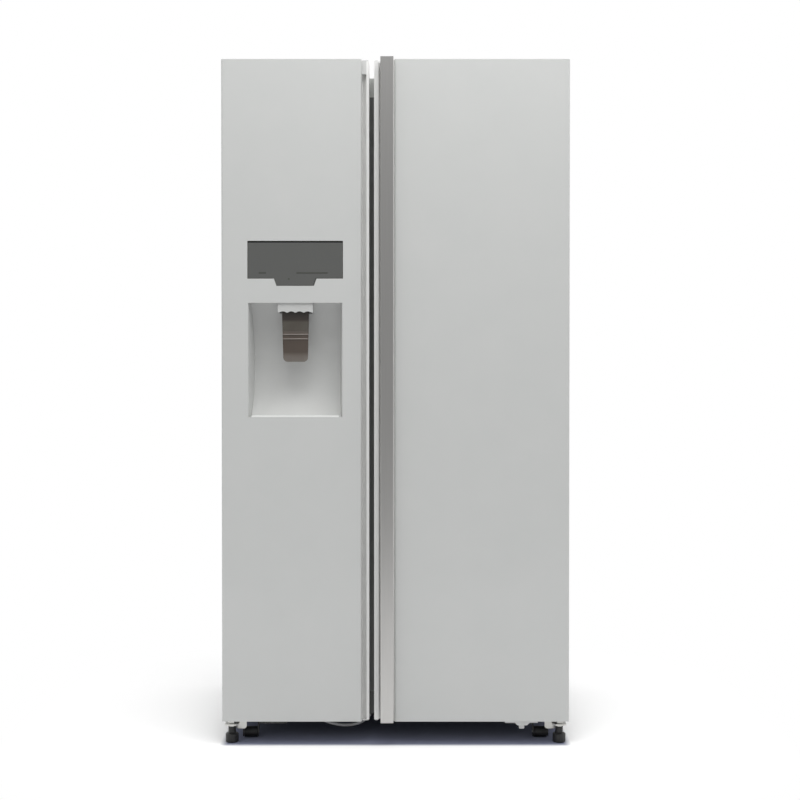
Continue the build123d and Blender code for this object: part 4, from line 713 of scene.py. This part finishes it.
@dataclass
class Undercarriage:
    """Feet, rollers and the water tube that sags under the freezer door."""

    rollers: tuple[str, ...] = (
        "front_roller_left", "front_roller_right", "rear_roller_left", "rear_roller_right",
    )
    axle_radius: float = 3.2
    axle_reach: float = 3.5
    axle_crown: float = 0.35
    axle_sides: int = 14
    tube_radius: float = 4.0
    tube_length: float = 163.0
    tube_y: float = -252.0
    tube_route: tuple[Span, ...] = (
        (-214.0, 58.0), (-197.0, 43.0), (-170.0, 33.0), (-138.0, 27.5), (-106.0, 31.0), (-83.0, 42.0),
        (-67.0, 58.0),
    )

    def build(self) -> None:
        """Dresses the running gear and hangs the tube."""
        dress(BLACK, "levelling_foot_left", "levelling_foot_right", *self.rollers)
        self.axle_caps()
        self.tube()

    def axle_caps(self) -> None:
        """Peened ends of the axles, bright on the forks' cheeks."""
        form = bmesh.new()
        for node in self.rollers:
            low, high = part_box(node)
            middle = (low + high) / 2
            for side, edge in ((-1.0, low.x), (1.0, high.x)):
                at = Vector((edge + side * mm(self.axle_reach), middle.y, middle.z))
                steps = {"u_segments": self.axle_sides, "v_segments": self.axle_sides // 2}
                ball = bmesh.ops.create_uvsphere(form, radius=mm(self.axle_radius), **steps)["verts"]
                bmesh.ops.scale(form, vec=Vector((self.axle_crown, 1.0, 1.0)), verts=ball)
                bmesh.ops.translate(form, vec=at, verts=ball)
        piece("axle_ends", form, ZINC, "cabinet")

    def tube(self) -> None:
        """Hangs the tube between its two sockets on the deck."""
        route = [place(x, self.tube_y, z) for x, z in self.tube_route]
        curve = bpy.data.curves.new("water_tube_line", "CURVE")
        curve.dimensions = "3D"
        curve.bevel_depth = mm(self.tube_radius)
        curve.bevel_resolution = 5
        curve.resolution_u = 10
        curve.use_fill_caps = True
        spline = curve.splines.new("NURBS")
        spline.points.add(len(route) - 1)
        for point, at in zip(spline.points, route):
            point.co = (*at, 1.0)
        spline.order_u = 3
        spline.use_endpoint_u = True
        curve.materials.append(TUBE.material())
        tube = bpy.data.objects.new("water_tube_hose", curve)
        show(tube)
        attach(tube, "cabinet")
        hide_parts("water_tube")
        LOG.info("hung the water tube, %.0f mm", self.tube_length)


@dataclass
class MachineRoom:
    """The compressor, its pipes and what cools it, behind the slotted cover.

    Shares are of the pot's radius or height. A pipe's way is its distance from the pot's middle and its
    outlet's share of the height.
    """

    pot_radius: float = 80.0
    pot_shoulder: float = 34.0
    pot_sides: int = 48
    pot_corner: float = 1.2
    foot_share: float = 0.8
    crown_share: float = 0.55
    seam_share: float = 0.52
    seam_rise: float = 3.0
    plate: float = 3.0
    plate_round: float = 1.0
    terminals: Box = Box((-12.0, 14.0), (-30.0, 30.0), (60.0, 108.0), 4.0)
    pipe_radius: float = 4.0
    pipe_bend: float = 14.0
    pipe_start: float = 60.0
    pipe_out: float = 14.0
    pipe_top: float = 18.0
    pipe_ways: tuple[Span, ...] = ((-36.0, 0.62), (-58.0, 0.45))

    def build(self) -> None:
        """Dresses the machine room and replaces the plain pot."""
        dress(RUBBER, "compressor_grommets")
        dress(BLACK, "fan_shroud", "condenser_fan", "drain_pan")
        dress(FINS, "condenser")
        dress(NYLON, "water_valve")
        self.compressor()
        self.pipes()

    def compressor(self) -> None:
        """A pressed pot with a domed lid, a welded seam, a terminal box and a foot plate."""
        low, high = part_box("compressor")
        middle = (low + high) / 2
        plate = mm(self.plate)
        radius = mm(self.pot_radius)
        shoulder = mm(self.pot_shoulder)
        rim = mm(self.seam_rise)
        wall = radius - rim
        rise = high.z - low.z
        seam = rise * self.seam_share
        profile = [
            (0.0, plate), (radius * self.foot_share, plate), (wall, plate + shoulder / 2), (wall, seam),
            (radius, seam), (radius, seam + rim), (wall, seam + rim), (wall, rise - shoulder),
            (radius * self.crown_share, rise), (0.0, rise),
        ]
        form = bmesh.new()
        lathe(form, Vector((middle.x, middle.y, low.z)), profile, mm(self.pot_corner), self.pot_sides)
        block(form, (low.x, high.x), (low.y, high.y), (low.z, low.z + plate), mm(self.plate_round))
        self.terminals.add(form, Vector((middle.x + radius, middle.y, low.z)))
        pot = piece("compressor_pot", form, POT_BLACK, "cabinet")
        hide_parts("compressor")

    def pipes(self) -> None:
        """Discharge and suction pipes beside the pot."""
        low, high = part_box("compressor")
        middle = (low + high) / 2
        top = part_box("machine_cover")[1].z - mm(self.pipe_top)
        form = bmesh.new()
        for offset, share in self.pipe_ways:
            y = middle.y + mm(offset)
            start = Vector((middle.x + mm(self.pipe_start), y, low.z + (high.z - low.z) * share))
            out = Vector((high.x + mm(self.pipe_out), y, start.z))
            route = [start, out, Vector((out.x, y, top))]
            pipe(form, route, mm(self.pipe_radius), mm(self.pipe_bend))
        piece("refrigerant_pipes", form, COPPER, "cabinet")


@dataclass
class Compartments:
    """Shelves, drawers, ice maker and air ways inside the case."""

    shelves: tuple[str, ...] = ("freezer_shelves", "fridge_shelves")
    drawers: tuple[str, ...] = (
        "freezer_drawer_lower", "freezer_drawer_upper", "crisper_lower", "crisper_upper",
    )
    trim_inset: float = 22.0
    trim_height: float = 11.0
    trim_y: Span = (-3.0, 0.4)
    trim_round: float = 1.4
    strip_inset: float = 40.0
    strip_y: Span = (-1.6, 0.3)
    strip_z: Span = (-14.0, -2.0)
    strip_round: float = 0.7
    arm_radius: float = 1.8
    arm_bend: float = 8.0
    arm_sides: int = 10
    arm_x: Span = (-4.0, 17.0)
    arm_inset: float = 40.0
    arm_level: float = 26.0
    arm_clearance: float = 12.0
    cover_inset: Span = (14.0, 40.0)
    cover_screw: float = 4.5

    def build(self) -> None:
        """Dresses the inside and adds trims, grips and the ice maker's arm."""
        dress(LINER, "evaporator_cover", "air_duct", "ice_maker")
        dress(FINS, "evaporator")
        dress(BLACK, "evaporator_fan")
        dress(GLASS, *self.shelves)
        dress(CLEAR, "ice_bucket", *self.drawers)
        dress(LENS, "interior_lights")
        for node in self.shelves:
            self.shelf_trims(node)
        for drawer in self.drawers:
            self.grip_strip(drawer)
        self.ice_arm()
        self.cover_screws()

    def shelf_trims(self, node: str) -> None:
        """A moulded nosing along each glass shelf's front edge.

        It rises above the glass as a lip, apart from the lowest shelf's, which a drawer slides over.

        Args:
            node: The node that holds one compartment's shelves.
        """
        low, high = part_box(node)
        sides = narrow(low.x, high.x, self.trim_inset)
        form = bmesh.new()
        for index, (bottom, top) in enumerate(storeys(node)):
            crest = bottom + mm(self.trim_height) if index else top
            block(form, sides, about(low.y, self.trim_y), (bottom, crest), mm(self.trim_round))
        piece(f"{node}_nosing", form, WHITE_ABS, "cabinet")

    def grip_strip(self, drawer: str) -> None:
        """A strip along the drawer's rolled grip.

        Args:
            drawer: The drawer's node and body.
        """
        low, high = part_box(drawer)
        sides = narrow(low.x, high.x, self.strip_inset)
        form = bmesh.new()
        block(form, sides, about(low.y, self.strip_y), about(high.z, self.strip_z), mm(self.strip_round))
        piece(f"{drawer}_grip", form, LIGHTENED_TRIM_ABS, drawer)

    def ice_arm(self) -> None:
        """The wire arm that feels how full the bucket is."""
        low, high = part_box("ice_maker")
        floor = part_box("ice_bucket")[1].z + mm(self.arm_clearance)
        level = low.z + mm(self.arm_level)
        root, out = about(high.x, self.arm_x)
        near, far = narrow(low.y, high.y, self.arm_inset)
        corners = (
            (root, near, level), (out, near, level), (out, near, floor), (out, far, floor), (out, far, level),
            (root, far, level),
        )
        route = [Vector(corner) for corner in corners]
        form = bmesh.new()
        pipe(form, route, mm(self.arm_radius), mm(self.arm_bend), self.arm_sides)
        piece("ice_maker_arm", form, ZINC, "cabinet")

    def cover_screws(self) -> None:
        """Screws that hold the evaporator's cover."""
        low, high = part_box("evaporator_cover")
        across, along = self.cover_inset
        form = bmesh.new()
        for x in narrow(low.x, high.x, across):
            for z in narrow(low.z, high.z, along):
                screw(form, Vector((x, low.y, z)), FORWARD, mm(self.cover_screw))
        piece("evaporator_cover_screws", form, ZINC, "cabinet")


@dataclass
class Seal:
    """A magnetic bellows seal round one door; the profile is (inward, towards the cabinet) in millimetres."""

    node: str
    body: str
    corner: float = 9.0
    corner_steps: int = 5
    crease: float = 70.0
    profile: tuple[Span, ...] = (
        (0.6, 0.0), (0.2, 1.7), (2.3, 3.3), (0.5, 5.0), (0.0, 7.4), (0.7, 10.8), (2.0, 11.7), (12.0, 11.7),
        (13.3, 10.8), (14.0, 7.4), (13.5, 5.0), (11.7, 3.3), (13.8, 1.7), (13.4, 0.0),
    )

    def build(self) -> None:
        """Draws the profile round the door, ring by ring, and closes it."""
        low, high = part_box(self.node)
        middle = (low + high) / 2
        half = (high - low) / 2
        form = bmesh.new()
        outline = ((low.x, low.z), (high.x, low.z), (high.x, high.z), (low.x, high.z))
        corners = [form.verts.new((x, low.y, z)) for x, z in outline]
        for pair in zip(corners, corners[1:] + corners[:1]):
            form.edges.new(pair)
        soften(form, corners, mm(self.corner), self.corner_steps, "VERTICES")
        first = form.edges[:]
        ring = first
        about = Matrix.Translation(-middle)
        inward, depth = 0.0, 0.0
        for index, (reach, rise) in enumerate(self.profile):
            points = list({point for edge in ring for point in edge.verts})
            if index:
                grown = bmesh.ops.extrude_edge_only(form, edges=ring)["geom"]
                points = only(Corner, grown)
                ring = only(Edge, grown)
            across = (half.x - mm(reach)) / (half.x - inward)
            along = (half.z - mm(reach)) / (half.z - inward)
            bmesh.ops.scale(form, vec=Vector((across, 1.0, along)), space=about, verts=points)
            bmesh.ops.translate(form, vec=(0.0, mm(rise) - depth, 0.0), verts=points)
            inward, depth = mm(reach), mm(rise)
        bmesh.ops.bridge_loops(form, edges=first + ring)
        seal = piece(f"{self.node}_bellows", form, SEAL, self.body, sharp=self.crease)
        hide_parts(self.node)


@dataclass
class Door:
    """What both doors have: skin, core, inner panel, caps, trim, bins and seal."""

    side: str
    band_inset: float = 18.0
    band_y: Span = (-0.3, 1.8)
    band_z: Span = (22.0, 42.0)
    band_round: float = 0.8

    def build(self) -> None:
        """Dresses the door and adds its bin bands and seal."""
        # The edge trim takes the lightened ABS: painted light against the shade of its groove.
        outfit = {
            "door_skin": ENAMEL, "door_core": FOAM, "door_liner": LINER, "door_caps": WHITE_ABS,
            "edge_trim": LIGHTENED_TRIM_ABS, "door_bins": CLEAR,
        }
        for part, finish in outfit.items():
            dress(finish, f"{self.side}_{part}")
        self.bin_bands()
        Seal(f"{self.side}_door_gasket", f"{self.side}_door").build()

    def bin_bands(self) -> None:
        """A pale band across the front of each door bin."""
        node = f"{self.side}_door_bins"
        low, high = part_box(node)
        sides = narrow(low.x, high.x, self.band_inset)
        form = bmesh.new()
        for bottom, _ in storeys(node):
            block(form, sides, about(high.y, self.band_y), about(bottom, self.band_z), mm(self.band_round))
        piece(f"{node}_bands", form, LIGHTENED_TRIM_ABS, f"{self.side}_door")


@dataclass
class FridgeDoor(Door):
    """The wide right door, with the stop that its closer runs on."""

    side: str = "fridge"
    stop_x: float = 331.0
    stop_inset: float = 2.0
    stop_seat: float = 0.5
    stop_depth: float = 30.0
    stop_round: float = 2.0
    wedge: tuple[Span, ...] = ((-23.0, 0.0), (-13.8, -11.0), (11.5, -11.0), (23.0, 0.0))
    ledge: Box = Box((-46.0, 40.0), (1.0, 31.0), (-5.0, 0.0), 1.0)
    peg: Box = Box((-9.0, 5.0), (4.0, 18.0), (-21.0, 0.0), 2.0)

    def build(self) -> None:
        """Dresses the door and adds the stop under its lower cap."""
        super().build()
        low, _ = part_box("fridge_door_caps")
        at = Vector((mm(self.stop_x), low.y + mm(self.stop_inset), low.z + mm(self.stop_seat)))
        form = bmesh.new()
        wedge = [at + place(x, 0.0, z) for x, z in self.wedge]
        prism(form, wedge, BACKWARD * mm(self.stop_depth), mm(self.stop_round))
        self.ledge.add(form, at)
        self.peg.add(form, at)
        piece("door_stop", form, WHITE_ABS, "fridge_door")


@dataclass
class HandleBar:
    """The full-height satin bar on the right door."""

    cap_inset: float = 0.4
    cap_front: float = 0.3
    cap_z: Span = (-0.2, 0.5)
    cap_round: float = 0.9

    def build(self) -> None:
        """Dresses the bar and closes its upper end with a dark cap."""
        dress(SATIN, "handle_bar")
        low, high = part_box("handle_bar")
        sides = narrow(low.x, high.x, self.cap_inset)
        depth = (low.y + mm(self.cap_front), high.y - mm(self.cap_inset))
        form = bmesh.new()
        block(form, sides, depth, about(high.z, self.cap_z), mm(self.cap_round))
        piece("handle_bar_cap", form, BLACK, "fridge_door")


@dataclass
class Dispenser:
    """Display, scooped housing, nozzle, lever and drip tray of the freezer door."""

    # Width of the painted shadow round the display, and its depth along the top.
    shadow_width: float = 0.8
    top_line: float = 4.4
    line_proud: float = 0.1
    line_depth: float = 0.3
    tab_rise: float = 18.7
    tab_top: Span = (-317.5, -206.5)
    tab_bottom: Span = (-311.0, -213.6)
    fields: tuple[Box, ...] = (
        Box((-257.0, -176.0), (-0.15, 0.2), (1227.0, 1231.5), 0.12),
        Box((-355.0, -336.0), (-0.15, 0.2), (1227.0, 1231.5), 0.12),
    )
    dot_at: Triple = (-277.0, -0.1, 1213.6)
    dot_radius: float = 2.4
    dot_depth: float = 0.4
    dot_sides: int = 24
    ridge_levels: tuple[float, ...] = (1070.0, 1058.5)
    ridge: Box = Box((-33.5, 33.5), (-0.6, 3.5), (-1.2, 1.2), 1.0)

    def build(self) -> None:
        """Dresses the dispenser and adds its marks and the lever's ridges."""
        # The housing and nozzle take the darker white ABS: painted shade of the recess.
        dress(RECESS_SHADE_ABS, "dispenser_housing", "dispenser_nozzle")
        # The tray takes the brighter white ABS: a painted highlight.
        dress(TRAY_HIGHLIGHT_ABS, "drip_tray")
        dress(DISPLAY, "display_panel")
        dress(BLACK, "control_module")
        # The lever's colour bands are painted shadow under the nozzle and painted light lower down.
        dress(SMOKED_LIGHT_AND_SHADE, "dispenser_lever")
        self.marks()
        self.shadow_line()
        self.ridges()

    def marks(self) -> None:
        """A printed line, a field and a status dot on the display."""
        face = Vector((0.0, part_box("display_panel")[0].y, 0.0))
        form = bmesh.new()
        for field in self.fields:
            field.add(form, face)
        turn = Matrix.Translation(face + place(*self.dot_at)) @ Matrix.Rotation(math.pi / 2, 4, "X")
        radius = mm(self.dot_radius)
        size = {"radius1": radius, "radius2": radius, "depth": mm(self.dot_depth)}
        bmesh.ops.create_cone(form, cap_ends=True, segments=self.dot_sides, matrix=turn, **size)
        piece("display_marks", form, PRINT, "freezer_door")

    def shadow_line(self) -> None:
        """A dark line round the display, wider along its top: a painted shadow."""
        low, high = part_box("display_panel")
        front = low.y - mm(self.line_proud)
        shoulder = low.z + mm(self.tab_rise)
        top = high.z - mm(self.top_line)
        form = bmesh.new()
        outline = [
            (low.x, high.z), (low.x, shoulder),
            (mm(self.tab_top[0]), shoulder), (mm(self.tab_bottom[0]), low.z),
            (mm(self.tab_bottom[1]), low.z), (mm(self.tab_top[1]), shoulder),
            (high.x, shoulder), (high.x, high.z),
        ]
        face = form.faces.new([form.verts.new((x, front, z)) for x, z in outline])
        face.normal_update()
        bmesh.ops.inset_region(
            form, faces=[face], thickness=mm(self.shadow_width), use_boundary=True, use_even_offset=True
        )
        for point in face.verts:
            point.co.z = min(point.co.z, top)
        bmesh.ops.delete(form, geom=[face], context="FACES_ONLY")
        thicken(form, form.faces[:], BACKWARD * mm(self.line_depth))
        piece("display_shadow_line", form, SHADOW, "freezer_door")

    def ridges(self) -> None:
        """Two moulded ridges across the lever where it steps forward, in a lighter colour that is a painted
        highlight.
        """
        low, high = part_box("dispenser_lever")
        form = bmesh.new()
        for level in self.ridge_levels:
            self.ridge.add(form, Vector(((low.x + high.x) / 2, low.y, mm(level))))
        piece("lever_ridges", form, SMOKED_HIGHLIGHT, "dispenser_lever")


@dataclass(frozen=True)
class Lamp:
    """A softbox: where it hangs, the point that it faces, its width and depth, and its power in watts."""

    name: str
    at: Triple
    aim: Triple
    size: Span
    power: float

    def hang(self) -> None:
        """Hangs the softbox."""
        data = bpy.data.lights.new(self.name, "AREA")
        data.shape = "RECTANGLE"
        data.size, data.size_y = self.size
        data.energy = self.power
        lamp = bpy.data.objects.new(self.name, data)
        lamp.location = self.at
        lamp.rotation_euler = (Vector(self.aim) - Vector(self.at)).to_track_quat("-Z", "Y").to_euler()
        show(lamp)


@dataclass
class Studio:
    """Camera, floor, lamps and the room's light."""

    camera_at: Triple = (0.0115, -3.85, 0.946)
    camera_pitch: float = 0.759
    lens: float = 60.68
    sensor: float = 36.0
    floor_size: float = 40.0
    floor_front: float = -3.1
    floor_painted_shadow: str = "#82869A"
    floor_bounce: str = "#D8D8DA"
    floor_roughness: float = 0.5
    footprint: Triple = (0.44, 0.338, 0.0)
    floor_edge: Span = (0.0, 0.02)
    floor_fade: Span = (0.0, 0.6)
    room_dim: float = 0.36
    room_bright: float = 1.05
    room_rise: Span = (0.12, 0.8)
    backdrop_edge: Span = (-0.1, 0.4)
    lamps: tuple[Lamp, ...] = (
        Lamp("front_softbox", (0.4, -1.3, 3.1), (0.0, -0.35, 1.5), (2.4, 1.0), 26.5),
        Lamp("ceiling_softbox", (0.0, 0.0, 5.0), (0.0, 0.0, 0.0), (9.0, 9.0), 100.0),
    )

    def build(self) -> None:
        """Sets up what the picture needs besides the object."""
        bpy.context.scene.view_settings.view_transform = "Standard"
        self.camera()
        self.floor()
        for lamp in self.lamps:
            lamp.hang()
        self.room()

    def camera(self) -> None:
        """Stands the camera where the photograph was taken from."""
        data = bpy.data.cameras.new("camera")
        data.lens = self.lens
        data.sensor_width = self.sensor
        camera = bpy.data.objects.new("camera", data)
        camera.location = self.camera_at
        camera.rotation_euler = (math.radians(90.0 - self.camera_pitch), 0.0, 0.0)
        show(camera)
        bpy.context.scene.camera = camera

    def floor(self) -> None:
        """Lays a pale, matt floor that starts under the camera."""
        form = bmesh.new()
        half = self.floor_size / 2
        bmesh.ops.create_grid(form, x_segments=1, y_segments=1, size=half)
        bmesh.ops.translate(form, vec=(0.0, self.floor_front + half, 0.0), verts=form.verts[:])
        mesh = bpy.data.meshes.new("floor")
        form.to_mesh(mesh)
        form.free()
        mesh.materials.append(self.floor_paint())
        floor = bpy.data.objects.new("floor", mesh)
        show(floor)

    def floor_paint(self) -> bpy.types.Material:
        """Matt paint that keeps the object's shadow, runs out into white, and throws little light back.

        Under the object it is bluish grey, as far as its footprint reaches: a painted shadow.

        Returns:
            The floor's material.
        """
        pale = bpy.data.materials.new("pale floor")
        pale.use_nodes = True
        tree = pale.node_tree
        tree.nodes.clear()
        rays = add_node(tree, "LightPath").outputs
        seen = combine(tree, "MAXIMUM", rays["Is Camera Ray"], rays["Is Glossy Ray"])
        way = add_node(tree, "TexCoord").outputs["Object"]
        zero = (0.0, 0.0, 0.0)
        for operation, other in (("ABSOLUTE", zero), ("SUBTRACT", self.footprint), ("MAXIMUM", zero)):
            way = add_node(tree, "VectorMath", {0: way, 1: other}, operation=operation).outputs["Vector"]
        away = add_node(tree, "VectorMath", {0: way}, operation="LENGTH").outputs["Value"]
        edge = ramp(tree, away, self.floor_edge)
        # Bluish grey inside the footprint, white beyond it: painted shadow under the object.
        shown = blend(tree, edge, linear(self.floor_painted_shadow), linear(WHITE))
        colour = blend(tree, seen, linear(self.floor_bounce), shown)
        paint = add_node(tree, "BsdfDiffuse", {"Color": colour, "Roughness": self.floor_roughness})
        lit = combine(tree, "MULTIPLY", ramp(tree, away, self.floor_fade), seen)
        white = add_node(tree, "Emission", {"Color": linear(WHITE), "Strength": 1.0})
        layers = {0: lit, 1: paint.outputs["BSDF"], 2: white.outputs["Emission"]}
        surface = add_node(tree, "MixShader", layers)
        add_node(tree, "OutputMaterial", {"Surface": surface.outputs["Shader"]})
        return pale

    def room(self) -> None:
        """Lights the room: dim walls, a bright ceiling and a white backdrop behind the object."""
        world = bpy.data.worlds.new("studio room")
        bpy.context.scene.world = world
        world.use_nodes = True
        tree = world.node_tree
        tree.nodes.clear()
        way = add_node(tree, "TexCoord").outputs["Generated"]
        parts = add_node(tree, "SeparateXYZ", {"Vector": way}).outputs
        levels = (self.room_dim, self.room_bright)
        glow = ramp(tree, parts["Z"], self.room_rise, levels, interpolation_type="SMOOTHSTEP")
        walls = add_node(tree, "Background", {"Color": linear(WHITE), "Strength": glow})
        backdrop = add_node(tree, "Background", {"Color": linear(WHITE), "Strength": 1.0})
        rays = add_node(tree, "LightPath").outputs
        behind = ramp(tree, parts["Y"], self.backdrop_edge)
        mirrored = combine(tree, "MULTIPLY", rays["Is Glossy Ray"], behind)
        direct = combine(tree, "MAXIMUM", rays["Is Camera Ray"], rays["Is Transmission Ray"])
        seen = combine(tree, "MAXIMUM", direct, mirrored)
        layers = {0: seen, 1: walls.outputs["Background"], 2: backdrop.outputs["Background"]}
        sky = add_node(tree, "MixShader", layers)
        add_node(tree, "OutputWorld", {"Surface": sky.outputs["Shader"]})


def main() -> None:
    """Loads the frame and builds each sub-assembly."""
    logging.basicConfig(level=logging.INFO, format="%(name)s: %(message)s")
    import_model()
    assemblies = (
        Studio(),
        Undercarriage(),
        Cabinet(),
        MachineRoom(),
        Compartments(),
        Door("freezer"),
        FridgeDoor(),
        HandleBar(),
        Dispenser(),
    )
    for assembly in assemblies:
        assembly.build()
        LOG.info("finished %s", type(assembly).__name__)


if __name__ == "__main__":
    main()
